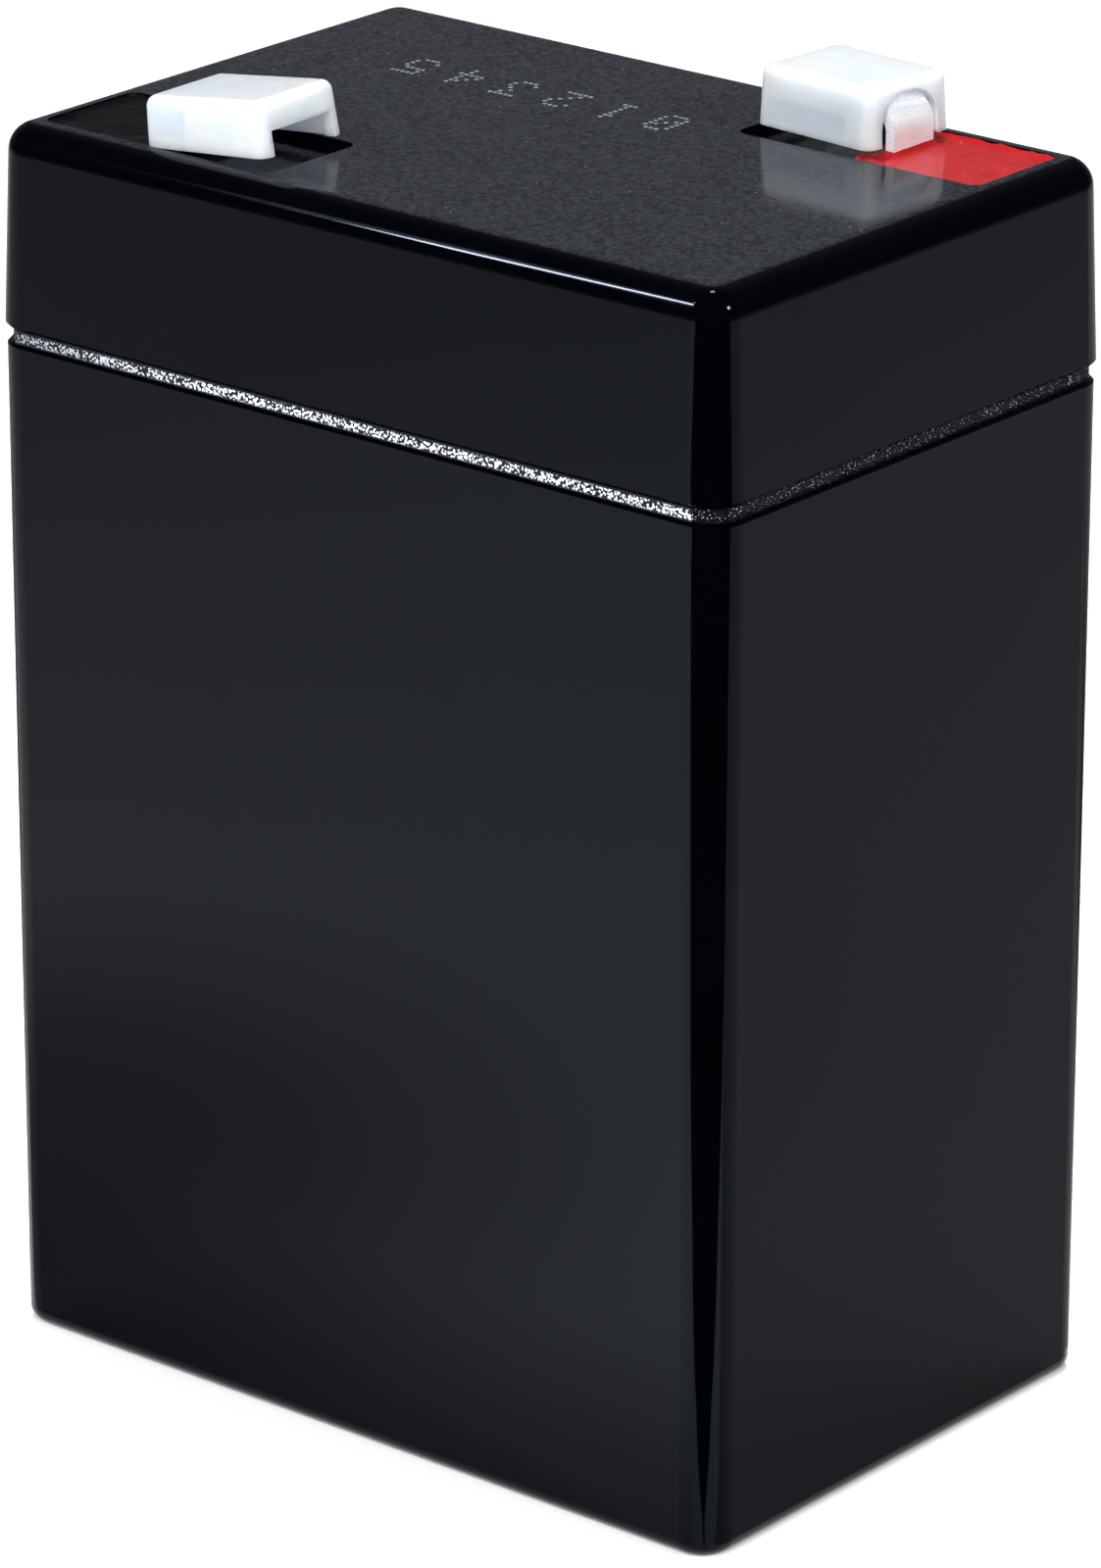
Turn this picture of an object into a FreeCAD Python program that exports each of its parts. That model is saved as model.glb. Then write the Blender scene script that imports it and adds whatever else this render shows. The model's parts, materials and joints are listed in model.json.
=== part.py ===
import FreeCAD, Part
import math
import os
import re
import Sketcher

# Sealed 6 volt lead acid battery with three cells in a row along X.
# The origin is at the middle of the underside and +Z is up. The front long wall
# faces -Y. The negative terminal stands over the -X, -Y corner and the positive
# terminal over the +X, +Y corner, half a turn about Z from each other.

# Driving sizes in millimetres and degrees.
SIZES = (
    ("case_length", 70.0, "length at the lower edge of the outer cover"),
    ("case_width", 47.0, "width at the lower edge of the outer cover"),
    ("case_height", 97.5, "height of the case without its terminals"),
    ("corner_radius", 3.0, "upright outer corners of the case"),
    ("least_radius", 0.3, "sharpest upright corner of a rim or a cavity"),
    ("wall", 2.4, "outer walls of the container"),
    ("floor_thickness", 2.5, "floor of the container"),
    ("partition", 1.6, "walls between the cells"),
    ("container_draft", 0.05, "the container narrows by this much to its foot"),
    ("bottom_radius", 1.2, "edge round the foot of the container"),
    ("rest_height", 1.5, "ribs on the floor that carry the plate groups"),
    ("rest_width", 1.6, "width of those ribs"),
    ("rest_offset", 12.0, "middle of those ribs from the middle of the cells"),
    ("cover_height", 15.8, "height of the outer cover"),
    ("cover_flare", 0.6, "the outer cover widens by this much to its lower edge"),
    ("cover_overhang", 0.15, "lower edge of the cover past the container"),
    ("inner_lip", 1.0, "lip of the outer cover inside the container's rim"),
    ("cover_top", 2.8, "top plate of the outer cover"),
    ("edge_radius", 2.3, "round top edge of the outer cover"),
    ("seam_height", 1.1, "open groove between container and outer cover"),
    ("seam_depth", 0.85, "depth of that groove in the container"),
    ("seam_chamfer", 0.3, "bevel on both lips of that groove"),
    ("tongue_width", 0.9, "rim of the container inside the cover's groove"),
    ("tongue_height", 4.9, "height of that rim over the container's shoulder"),
    ("tongue_top_gap", 0.4, "adhesive over the rim"),
    ("glue_gap", 0.15, "adhesive beside the rim"),
    ("glue_layer", 0.2, "adhesive above and under the inner cover"),
    ("bead_depth", 0.35, "adhesive in the open groove, all round"),
    ("front_bead_depth", 0.75, "bead in the open groove of the front wall"),
    ("front_bead_height", 0.9, "height of that bead"),
    ("front_bead_length", 63.0, "length of that bead"),
    ("ledge_rise", 0.9, "ledge and partition tops over the container's shoulder"),
    ("inner_cover_plate", 2.2, "thickness of the plate that closes the cells"),
    ("lip_height", 1.4, "lips under the inner cover beside each partition"),
    ("lip_width", 1.0, "thickness of those lips"),
    ("lip_length", 12.0, "length of those lips"),
    ("post_end_inset", 8.0, "axis of a terminal post from the short wall"),
    ("post_side_inset", 8.2, "axis of a terminal post from the long wall"),
    ("post_diameter", 5.0, "lead post"),
    ("post_gap", 0.3, "gap round the post in both covers"),
    ("stub_diameter", 2.4, "top of the post, in the foot of the tab"),
    ("stub_rise", 0.8, "top of the post over the foot of the tab"),
    ("collar_wall", 0.7, "wall of the collar round the post's seal"),
    ("collar_height", 3.0, "collar under the inner cover"),
    ("seal_section", 1.5, "thickness of the ring that seals the post"),
    ("recess_width", 10.2, "width of a terminal recess"),
    ("recess_radius", 1.0, "upright corners of a recess"),
    ("well_past_post", 5.0, "deep part of a recess past the axis of the post"),
    ("well_past_stem", 1.6, "deep part of a recess past the upright of the tab"),
    ("well_depth", 4.5, "depth of that part"),
    ("well_shell", 1.5, "walls and floor round that part"),
    ("dam_width", 1.0, "wall between the deep and the shallow part"),
    ("trough_length", 9.8, "shallow part of a recess, under the end of the tab"),
    ("trough_depth", 1.3, "depth of that part"),
    ("potting_drop", 0.4, "potting and dam below the top face"),
    ("tab_width", 4.75, "width of a terminal tab"),
    ("tab_thickness", 0.8, "sheet thickness of a terminal tab"),
    ("stem_inset", 5.0, "middle of a tab's upright from the axis of the post"),
    ("foot_past_post", 3.6, "foot of a tab past the axis of the post"),
    ("tab_leg", 7.2, "straight part of a tab past its upper bend"),
    ("tab_bend", 1.2, "inner radius of the upper bend"),
    ("foot_bend", 0.4, "inner radius of the bend at the foot"),
    ("tab_hole", 1.8, "hole that a push-on connector snaps into"),
    ("tab_hole_back", 3.2, "middle of that hole from the free end"),
    ("tab_tip_chamfer", 0.7, "bevelled corners of the free end"),
    ("positive_rise", 3.55, "bend of the positive tab over the top face"),
    ("positive_lift", 0.0, "degrees that the positive tab rises to its free end"),
    ("positive_shift", 0.0, "positive tab outwards from the axis of its post"),
    ("negative_rise", 2.9, "bend of the negative tab over the top face"),
    ("negative_lift", 7.7, "degrees that the negative tab rises to its free end"),
    ("negative_shift", 0.4, "negative tab outwards from the axis of its post"),
    ("cap_length", 11.0, "length of a terminal cap"),
    ("cap_width", 8.8, "width of a terminal cap"),
    ("cap_height", 4.0, "height of a terminal cap"),
    ("cap_side", 0.95, "side and end walls of a cap"),
    ("cap_top", 0.7, "top wall of a cap"),
    ("cap_draft", 0.2, "a cap narrows by this much to its top"),
    ("cap_radius", 0.6, "outer edges of a cap"),
    ("cap_arch", 6.5, "width of the opening for the bend of the tab"),
    ("cap_arch_radius", 1.0, "upper corners of that opening"),
    ("cap_slot", 6.7, "width of the low opening in the other end of a cap"),
    ("cap_slot_height", 1.7, "height of that opening"),
    ("cap_gap", 0.2, "gap between a tab and the top of its cap"),
    ("positive_cap_back", 0.05, "cap short of the middle of the tab's upright"),
    ("positive_cap_shift", 0.55, "middle of the cap outwards from the tab"),
    ("positive_cap_turn", -4.4, "degrees that the cap is turned on the tab"),
    ("negative_cap_back", 1.0, "cap short of the middle of the tab's upright"),
    ("negative_cap_shift", 0.15, "middle of the cap outwards from the tab"),
    ("negative_cap_turn", 0.8, "degrees that the cap is turned on the tab"),
    ("positive_plate", 2.2, "thickness of a positive plate"),
    ("negative_plate", 1.3, "thickness of a negative plate"),
    ("stack_gap", 0.45, "outermost plates to the end walls of their cell"),
    ("mat_gap", 0.6, "glass mat to the side walls of its cell"),
    ("mat_margin", 1.0, "glass mat past both sides of the plates"),
    ("mat_rise", 1.8, "glass mat over the top of the plates"),
    ("lug_width", 8.0, "lug on the top of each plate"),
    ("lug_inset", 0.75, "lug from the side of its plate"),
    ("lug_rise", 4.2, "lug between plate and strap"),
    ("lug_seat", 2.5, "lug inside the strap"),
    ("strap_width", 9.2, "width of a cast strap"),
    ("strap_thickness", 4.2, "height of a cast strap"),
    ("strap_gap", 0.2, "strap to the end walls of its cell"),
    ("riser_thickness", 2.6, "upright of a strap at the partition"),
    ("riser_height", 6.3, "height of that upright over its strap"),
    ("head_space", 2.2, "uprights to the inner cover"),
    ("weld_diameter", 5.0, "weld through a partition"),
    ("vent_diameter", 7.0, "outside of a vent stub"),
    ("vent_bore", 3.5, "bore of a vent stub"),
    ("vent_height", 5.6, "vent stub over the inner cover"),
    ("valve_wall", 1.2, "wall and top of a rubber valve cap"),
    ("valve_height", 5.6, "height of a rubber valve cap"),
    ("keeper_gap", 0.3, "ring under the outer cover over each valve cap"),
    ("keeper_width", 1.0, "wall of that ring"),
)
NAMES = {name for name, size, note in SIZES}

CELLS = 3
POSITIVE_COUNT = 3
NEGATIVE_COUNT = 4

# Levels above the underside.
COVER_FOOT = "(case_height - cover_height)"
SHOULDER = f"({COVER_FOOT} - seam_height)"
TONGUE_TOP = f"({SHOULDER} + tongue_height)"
GROOVE_TOP = f"({TONGUE_TOP} + tongue_top_gap)"
LEDGE = f"({SHOULDER} + ledge_rise)"
INNER_COVER_FOOT = f"({LEDGE} + glue_layer)"
INNER_COVER_TOP = f"({INNER_COVER_FOOT} + inner_cover_plate)"
INNER_LIP_FOOT = f"({INNER_COVER_TOP} + glue_layer)"
VALVE_TOP = f"({INNER_COVER_TOP} + vent_height + valve_wall)"
WELL_FLOOR = "(case_height - well_depth)"
REST_TOP = "(floor_thickness + rest_height)"
STRAP_TOP = f"({INNER_COVER_FOOT} - head_space - riser_height)"
STRAP_FOOT = f"({STRAP_TOP} - strap_thickness)"
PLATE_TOP = f"({STRAP_FOOT} - lug_rise)"
MAT_TOP = f"({PLATE_TOP} + mat_rise)"
WELD_LEVEL = f"({STRAP_TOP} + riser_height / 2)"

# Half length and half width of the container under its shoulder.
OUTER_X = "(case_length / 2 - cover_overhang)"
OUTER_Y = "(case_width / 2 - cover_overhang)"

# Depths inwards from there of the faces round the joint.
GROOVE_OUTER = "(seam_depth - glue_gap)"
TONGUE_OUTER = "seam_depth"
TONGUE_INNER = f"({TONGUE_OUTER} + tongue_width)"
GROOVE_INNER = f"({TONGUE_INNER} + glue_gap)"
COVER_CAVITY = f"({GROOVE_INNER} + inner_lip)"

CELL_LENGTH = f"((2 * ({OUTER_X} - wall) - {CELLS - 1} * partition) / {CELLS})"
CELL_PITCH = f"({CELL_LENGTH} + partition)"
CELL_WIDTH = f"(2 * ({OUTER_Y} - wall))"

# The glass mat fills what the plates leave of the length of their cell.
PLATES = f"({POSITIVE_COUNT} * positive_plate + {NEGATIVE_COUNT} * negative_plate)"
MATS = 2 * POSITIVE_COUNT
MAT = f"(({CELL_LENGTH} - 2 * stack_gap - {PLATES}) / {MATS})"
PLATE_PITCH = f"(positive_plate + negative_plate + 2 * {MAT})"
PLATE_FOOT = f"({REST_TOP} + {MAT})"
MAT_HALF = f"({CELL_WIDTH} / 2 - mat_gap)"
PLATE_HALF = f"({MAT_HALF} - mat_margin)"
LUG_Y = f"({PLATE_HALF} - lug_inset - lug_width / 2)"

# Places of a terminal, its recess and its tab along X and Y.
POST_X = "(case_length / 2 - post_end_inset)"
POST_Y = "(case_width / 2 - post_side_inset)"
STEM_X = f"({POST_X} - stem_inset)"
FOOT_END = f"({POST_X} + foot_past_post)"
WELL_OUTER = f"({POST_X} + well_past_post)"
WELL_INNER = f"({STEM_X} - well_past_stem)"
TROUGH_OUTER = f"({WELL_INNER} - dam_width)"
TROUGH_INNER = f"({TROUGH_OUTER} - trough_length)"
RECESS_NEAR = f"({POST_Y} - recess_width / 2)"
RECESS_FAR = f"({POST_Y} + recess_width / 2)"
POST_HOLE = "(post_diameter + 2 * post_gap)"
SEAL_SEAT = "(post_diameter + 2 * seal_section)"

V = FreeCAD.Vector
UPRIGHT = V(0, 0, 1)
HALF_TURN = FreeCAD.Rotation(UPRIGHT, 180)

doc = FreeCAD.newDocument("sealed_lead_acid_battery")
sheet = doc.addObject("Spreadsheet::Sheet", "sizes")
for row, (name, size, note) in enumerate(SIZES, start=1):
    sheet.set(f"A{row}", name)
    sheet.set(f"B{row}", str(size))
    sheet.set(f"C{row}", note)
    sheet.setAlias(f"B{row}", name)
doc.recompute()


def bound(text):
    """Point each size named in a formula at its cell of the sheet."""
    return re.sub(r"[a-z_]+", lambda m: f"sizes.{m[0]}" if m[0] in NAMES else m[0], text)


def value(text):
    """Number that a formula gives."""
    return float(sheet.evalExpression(bound(text)))


def new_body(label):
    """Empty body whose features may stay apart from each other."""
    body = doc.addObject("PartDesign::Body", label)
    body.Label = label
    body.AllowCompound = True
    return body


def origin_part(body, role):
    """Plane or axis of a body's own origin."""
    return next(part for part in body.Origin.OriginFeatures if part.Role == role)


def sketch_on(body, role, level="0"):
    """Empty sketch on one of the body's origin planes, moved along its normal."""
    sketch = body.newObject("Sketcher::SketchObject", f"{body.Label}_sketch")
    sketch.AttachmentSupport = [(origin_part(body, role), "")]
    sketch.MapMode = "FlatFace"
    sketch.setExpression("AttachmentOffset.Base.z", bound(level))
    return sketch


def constrain(sketch, text, *reference):
    """Add one constraint and bind it to a formula."""
    kind = reference[0]
    number = value(text)
    if kind == "Angle":
        number = math.radians(number)
    index = sketch.addConstraint(Sketcher.Constraint(*reference, number))
    sketch.setExpression(f"Constraints[{index}]", bound(text))


def join_tangent(sketch, first, second):
    """Let the end of one edge run smoothly into the start of the next."""
    sketch.addConstraint(Sketcher.Constraint("Tangent", first, 2, second, 1))


def add_line(sketch, start, end):
    """Straight edge between two points of the sketch plane."""
    return sketch.addGeometry(Part.LineSegment(V(*start, 0), V(*end, 0)), False)


def add_arc(sketch, centre, radius, start_angle, end_angle):
    """Round edge, counter-clockwise between two angles in degrees."""
    circle = Part.Circle(V(*centre, 0), UPRIGHT, radius)
    angles = (math.radians(start_angle), math.radians(end_angle))
    return sketch.addGeometry(Part.ArcOfCircle(circle, *angles), False)


def add_rectangle(sketch, left, right, low, high):
    """Rectangle between four formulas."""
    x0, x1, y0, y1 = (value(text) for text in (left, right, low, high))
    corners = ((x0, y0), (x1, y0), (x1, y1), (x0, y1))
    edges = [add_line(sketch, corners[i], corners[(i + 1) % 4]) for i in range(4)]
    for i in range(4):
        meet = (edges[i], 2, edges[(i + 1) % 4], 1)
        sketch.addConstraint(Sketcher.Constraint("Coincident", *meet))
        direction = "Horizontal" if i % 2 == 0 else "Vertical"
        sketch.addConstraint(Sketcher.Constraint(direction, edges[i]))
    constrain(sketch, low, "DistanceY", -1, 1, edges[0], 1)
    constrain(sketch, right, "DistanceX", -1, 1, edges[1], 1)
    constrain(sketch, high, "DistanceY", -1, 1, edges[2], 1)
    constrain(sketch, left, "DistanceX", -1, 1, edges[3], 1)


def add_rounded_rectangle(sketch, left, right, low, high, radius):
    """Rectangle between four formulas, with four round corners."""
    x0, x1, y0, y1, r = (value(text) for text in (left, right, low, high, radius))
    edges = [
        add_line(sketch, (x0 + r, y0), (x1 - r, y0)),
        add_line(sketch, (x1, y0 + r), (x1, y1 - r)),
        add_line(sketch, (x1 - r, y1), (x0 + r, y1)),
        add_line(sketch, (x0, y1 - r), (x0, y0 + r)),
    ]
    centres = ((x1 - r, y0 + r), (x1 - r, y1 - r), (x0 + r, y1 - r), (x0 + r, y0 + r))
    arcs = [
        add_arc(sketch, centre, r, 90 * i - 90, 90 * i)
        for i, centre in enumerate(centres)
    ]
    for i in range(4):
        join_tangent(sketch, edges[i], arcs[i])
        join_tangent(sketch, arcs[i], edges[(i + 1) % 4])
        direction = "Horizontal" if i % 2 == 0 else "Vertical"
        sketch.addConstraint(Sketcher.Constraint(direction, edges[i]))
    for arc in arcs[1:]:
        sketch.addConstraint(Sketcher.Constraint("Equal", arcs[0], arc))
    constrain(sketch, radius, "Radius", arcs[0])
    constrain(sketch, low, "DistanceY", -1, 1, edges[0], 1)
    constrain(sketch, right, "DistanceX", -1, 1, edges[1], 1)
    constrain(sketch, high, "DistanceY", -1, 1, edges[2], 1)
    constrain(sketch, left, "DistanceX", -1, 1, edges[3], 1)


def add_case_outline(sketch, depth):
    """Outline of the case at some depth inwards from the container's outer face."""
    half_x = f"({OUTER_X} - {depth})"
    half_y = f"({OUTER_Y} - {depth})"
    radius = f"max(corner_radius - cover_overhang - {depth}; least_radius)"
    add_rounded_rectangle(sketch, f"-{half_x}", half_x, f"-{half_y}", half_y, radius)


def add_circle(sketch, x, y, diameter):
    """Circle about a point given by two formulas."""
    circle = Part.Circle(V(value(x), value(y), 0), UPRIGHT, value(diameter) / 2)
    edge = sketch.addGeometry(circle, False)
    constrain(sketch, f"({diameter}) / 2", "Radius", edge)
    constrain(sketch, x, "DistanceX", -1, 1, edge, 3)
    constrain(sketch, y, "DistanceY", -1, 1, edge, 3)


def extrude(kind, sketch, length, down=False, both_ways=False, taper=None):
    """Pad or pocket of a sketch."""
    body = sketch.getParentGeoFeatureGroup()
    feature = body.newObject(f"PartDesign::{kind}", f"{body.Label}_{kind.lower()}")
    feature.Profile = sketch
    feature.setExpression("Length", bound(length))
    feature.Reversed = down == (kind == "Pad")
    if both_ways:
        feature.SideType = "Symmetric"
    if taper:
        feature.setExpression("TaperAngle", bound(taper))
    doc.recompute()
    return feature


def pad(sketch, length, **options):
    """Solid grown from a sketch along its normal, or against it."""
    return extrude("Pad", sketch, length, **options)


def pocket(sketch, length, down=True, **options):
    """Hollow cut from a sketch against its normal, or along it."""
    return extrude("Pocket", sketch, length, down=down, **options)


def dress(kind, size_name, size, feature, chosen):
    """Fillet or chamfer on the chosen edges of a feature."""
    body = feature.getParentGeoFeatureGroup()
    edges = [f"Edge{i}" for i, edge in enumerate(feature.Shape.Edges, 1) if chosen(edge)]
    dressed = body.newObject(f"PartDesign::{kind}", f"{body.Label}_{kind.lower()}")
    dressed.Base = (feature, edges)
    dressed.setExpression(size_name, bound(size))
    doc.recompute()
    return dressed


def fillet(feature, radius, chosen):
    """Round the chosen edges."""
    return dress("Fillet", "Radius", radius, feature, chosen)


def chamfer(feature, size, chosen):
    """Bevel the chosen edges."""
    return dress("Chamfer", "Size", size, feature, chosen)


def lies_at(edge, level):
    """Whether an edge lies flat at a height."""
    box = edge.BoundBox
    return abs(box.ZMin - level) < 1e-4 and abs(box.ZMax - level) < 1e-4


def row_along_x(features, spacing, count):
    """Copies of some features in a row along X."""
    body = features[0].getParentGeoFeatureGroup()
    row = body.newObject("PartDesign::LinearPattern", f"{body.Label}_row")
    row.Originals = features
    row.Direction = (origin_part(body, "X_Axis"), [""])
    row.setExpression("Length", bound(f"{spacing} * {count - 1}"))
    row.Occurrences = count
    body.Tip = row
    doc.recompute()
    return row


def repeat_half_turn(features):
    """The same features again, half a turn about Z."""
    body = features[0].getParentGeoFeatureGroup()
    pair = body.newObject("PartDesign::PolarPattern", f"{body.Label}_pair")
    pair.Originals = features
    pair.Axis = (origin_part(body, "Z_Axis"), [""])
    pair.Angle = 360
    pair.Occurrences = 2
    body.Tip = pair
    doc.recompute()
    return pair


def build_container():
    """Open box with two partitions, ribs on its floor and a narrow upper rim."""
    body = new_body("container")
    outline = sketch_on(body, "XY_Plane")
    add_case_outline(outline, "container_draft")
    walls = pad(outline, SHOULDER, taper=f"atan(container_draft / {SHOULDER})")
    bevel = chamfer(walls, "seam_chamfer", lambda e: lies_at(e, value(SHOULDER)))
    fillet(bevel, "bottom_radius", lambda e: lies_at(e, 0))

    rim = sketch_on(body, "XY_Plane", SHOULDER)
    add_case_outline(rim, TONGUE_OUTER)
    pad(rim, "tongue_height")
    mouth = sketch_on(body, "XY_Plane", TONGUE_TOP)
    add_case_outline(mouth, TONGUE_INNER)
    pocket(mouth, f"{TONGUE_TOP} - {LEDGE}")

    first_cell = sketch_on(body, "XY_Plane", LEDGE)
    left = f"-({OUTER_X} - wall)"
    half_width = f"{CELL_WIDTH} / 2"
    add_rectangle(first_cell, left, f"{left} + {CELL_LENGTH}", f"-{half_width}", half_width)
    hollow = pocket(first_cell, f"{LEDGE} - floor_thickness")
    row_along_x([hollow], CELL_PITCH, CELLS)

    for side in ("-", ""):
        rib = sketch_on(body, "XY_Plane", "floor_thickness")
        middle = f"{side}rest_offset"
        low = f"{middle} - rest_width / 2"
        high = f"{middle} + rest_width / 2"
        add_rectangle(rib, f"-({OUTER_X} - wall)", f"{OUTER_X} - wall", low, high)
        pad(rib, "rest_height")

    for x_side, y_side in (("-", ""), ("", "-")):
        passage = sketch_on(body, "YZ_Plane", f"{x_side}{CELL_PITCH} / 2")
        add_circle(passage, f"{y_side}{LUG_Y}", WELD_LEVEL, "weld_diameter")
        pocket(passage, "2 * partition", both_ways=True)
    return body


def build_outer_cover():
    """Deep cover with two terminal recesses, a groove for the rim and valve keepers."""
    body = new_body("outer_cover")
    outline = sketch_on(body, "XY_Plane", COVER_FOOT)
    half_x, half_y = "case_length / 2", "case_width / 2"
    add_rounded_rectangle(
        outline, f"-{half_x}", half_x, f"-{half_y}", half_y, "corner_radius")
    block = pad(outline, "cover_height", taper="-atan(cover_flare / cover_height)")
    limit = "corner_radius - cover_flare - 0.05"
    top = value("case_height")
    rounded = fillet(block, f"min(edge_radius; {limit})", lambda e: lies_at(e, top))
    foot = value(COVER_FOOT)
    chamfer(rounded, "seam_chamfer", lambda e: lies_at(e, foot))

    cavity = sketch_on(body, "XY_Plane", COVER_FOOT)
    add_case_outline(cavity, COVER_CAVITY)
    pocket(cavity, "cover_height - cover_top", down=False)
    step = sketch_on(body, "XY_Plane", COVER_FOOT)
    add_case_outline(step, GROOVE_INNER)
    pocket(step, f"{INNER_LIP_FOOT} - {COVER_FOOT}", down=False)
    groove = sketch_on(body, "XY_Plane", COVER_FOOT)
    add_case_outline(groove, GROOVE_OUTER)
    add_case_outline(groove, GROOVE_INNER)
    pocket(groove, f"{GROOVE_TOP} - {COVER_FOOT}", down=False)

    ceiling = "case_height - cover_top"
    shell = sketch_on(body, "XY_Plane", ceiling)
    add_rectangle(
        shell,
        f"{WELL_INNER} - well_shell", f"{WELL_OUTER} + well_shell / 2",
        f"{RECESS_NEAR} - well_shell", f"{RECESS_FAR} + well_shell / 2")
    well_box = pad(shell, "well_depth + well_shell - cover_top", down=True)
    well = sketch_on(body, "XY_Plane", "case_height")
    add_rounded_rectangle(
        well, WELL_INNER, WELL_OUTER, RECESS_NEAR, RECESS_FAR, "recess_radius")
    well_cut = pocket(well, "well_depth")
    trough = sketch_on(body, "XY_Plane", "case_height")
    add_rounded_rectangle(
        trough, TROUGH_INNER, TROUGH_OUTER, RECESS_NEAR, RECESS_FAR, "recess_radius")
    trough_cut = pocket(trough, "trough_depth")
    dam = sketch_on(body, "XY_Plane", "case_height")
    add_rectangle(
        dam,
        f"{TROUGH_OUTER} - recess_radius", f"{WELL_INNER} + recess_radius",
        RECESS_NEAR, RECESS_FAR)
    dam_cut = pocket(dam, "potting_drop")
    post_hole = sketch_on(body, "XY_Plane", WELL_FLOOR)
    add_circle(post_hole, POST_X, POST_Y, POST_HOLE)
    hole_cut = pocket(post_hole, "2 * well_shell")
    repeat_half_turn([well_box, well_cut, trough_cut, dam_cut, hole_cut])

    keeper = sketch_on(body, "XY_Plane", ceiling)
    add_circle(keeper, f"-{CELL_PITCH}", "0", "vent_diameter")
    add_circle(keeper, f"-{CELL_PITCH}", "0", "vent_diameter - 2 * keeper_width")
    drop = f"case_height - cover_top - {VALVE_TOP} - keeper_gap"
    ring = pad(keeper, drop, down=True)
    row_along_x([ring], CELL_PITCH, CELLS)
    return body


def build_inner_cover():
    """Plate over the cells with three vent stubs and two collars for the posts."""
    body = new_body("inner_cover")
    outline = sketch_on(body, "XY_Plane", INNER_COVER_FOOT)
    add_case_outline(outline, GROOVE_INNER)
    pad(outline, "inner_cover_plate")

    lips = sketch_on(body, "XY_Plane", INNER_COVER_FOOT)
    middle = f"-{CELL_PITCH} / 2"
    inside = "(partition / 2 + glue_gap)"
    outside = f"({inside} + lip_width)"
    for start, end in ((f"-{outside}", f"-{inside}"), (f"+{inside}", f"+{outside}")):
        add_rectangle(
            lips, f"{middle} {start}", f"{middle} {end}", "-lip_length / 2", "lip_length / 2")
    lip_pair = pad(lips, "lip_height", down=True)
    row_along_x([lip_pair], CELL_PITCH, CELLS - 1)

    stub = sketch_on(body, "XY_Plane", INNER_COVER_TOP)
    add_circle(stub, f"-{CELL_PITCH}", "0", "vent_diameter")
    stub_pad = pad(stub, "vent_height")
    bore = sketch_on(body, "XY_Plane", f"{INNER_COVER_TOP} + vent_height")
    add_circle(bore, f"-{CELL_PITCH}", "0", "vent_bore")
    bore_cut = pocket(bore, "vent_height + 2 * inner_cover_plate")
    row_along_x([stub_pad, bore_cut], CELL_PITCH, CELLS)

    collar = sketch_on(body, "XY_Plane", INNER_COVER_FOOT)
    add_circle(collar, POST_X, POST_Y, f"{SEAL_SEAT} + 2 * collar_wall")
    collar_pad = pad(collar, "collar_height", down=True)
    hole = sketch_on(body, "XY_Plane", INNER_COVER_TOP)
    add_circle(hole, POST_X, POST_Y, POST_HOLE)
    hole_cut = pocket(hole, "inner_cover_plate + 2 * collar_height")
    seat = sketch_on(body, "XY_Plane", INNER_COVER_TOP)
    add_circle(seat, POST_X, POST_Y, SEAL_SEAT)
    seat_cut = pocket(seat, "seal_section")
    repeat_half_turn([collar_pad, hole_cut, seat_cut])
    return body


def build_cover_adhesive():
    """Adhesive round the container's rim, with a bead in the front wall's groove."""
    body = new_body("cover_adhesive")
    rings = (
        (f"({TONGUE_OUTER} - bead_depth)", TONGUE_OUTER, SHOULDER, COVER_FOOT),
        (GROOVE_OUTER, TONGUE_OUTER, COVER_FOOT, GROOVE_TOP),
        (TONGUE_OUTER, TONGUE_INNER, TONGUE_TOP, GROOVE_TOP),
        (TONGUE_INNER, GROOVE_INNER, LEDGE, GROOVE_TOP),
        (GROOVE_INNER, COVER_CAVITY, INNER_COVER_TOP, INNER_LIP_FOOT),
    )
    for outside, inside, low, high in rings:
        ring = sketch_on(body, "XY_Plane", low)
        add_case_outline(ring, outside)
        add_case_outline(ring, inside)
        pad(ring, f"{high} - {low}")
    bead = sketch_on(body, "XY_Plane", f"{SHOULDER} + (seam_height - front_bead_height) / 2")
    add_rectangle(
        bead,
        "-front_bead_length / 2", "front_bead_length / 2",
        f"-({OUTER_Y} - seam_depth + front_bead_depth)", f"-({OUTER_Y} - seam_depth)")
    pad(bead, "front_bead_height")
    return body


def build_inner_cover_adhesive():
    """Adhesive on the container's ledge and on the tops of its partitions."""
    body = new_body("inner_cover_adhesive")
    outline = sketch_on(body, "XY_Plane", LEDGE)
    add_case_outline(outline, GROOVE_INNER)
    pad(outline, "glue_layer")
    first_cell = sketch_on(body, "XY_Plane", INNER_COVER_FOOT)
    left = f"-({OUTER_X} - wall)"
    half_width = f"{CELL_WIDTH} / 2"
    add_rectangle(first_cell, left, f"{left} + {CELL_LENGTH}", f"-{half_width}", half_width)
    opening = pocket(first_cell, "glue_layer")
    row_along_x([opening], CELL_PITCH, CELLS)
    return body


def build_valve_cap(label, place):
    """Rubber cup that sits over a vent stub."""
    body = new_body(label)
    cup = sketch_on(body, "XY_Plane", f"{VALVE_TOP} - valve_height")
    add_circle(cup, "0", "0", "vent_diameter + 2 * valve_wall")
    solid = pad(cup, "valve_height")
    top = value(VALVE_TOP)
    chamfer(solid, "valve_wall / 2", lambda e: lies_at(e, top))
    inside = sketch_on(body, "XY_Plane", f"{VALVE_TOP} - valve_height")
    add_circle(inside, "0", "0", "vent_diameter")
    pocket(inside, "valve_height - valve_wall", down=False)
    body.setExpression("Placement.Base.x", bound(f"{place} * {CELL_PITCH}"))
    return body


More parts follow.
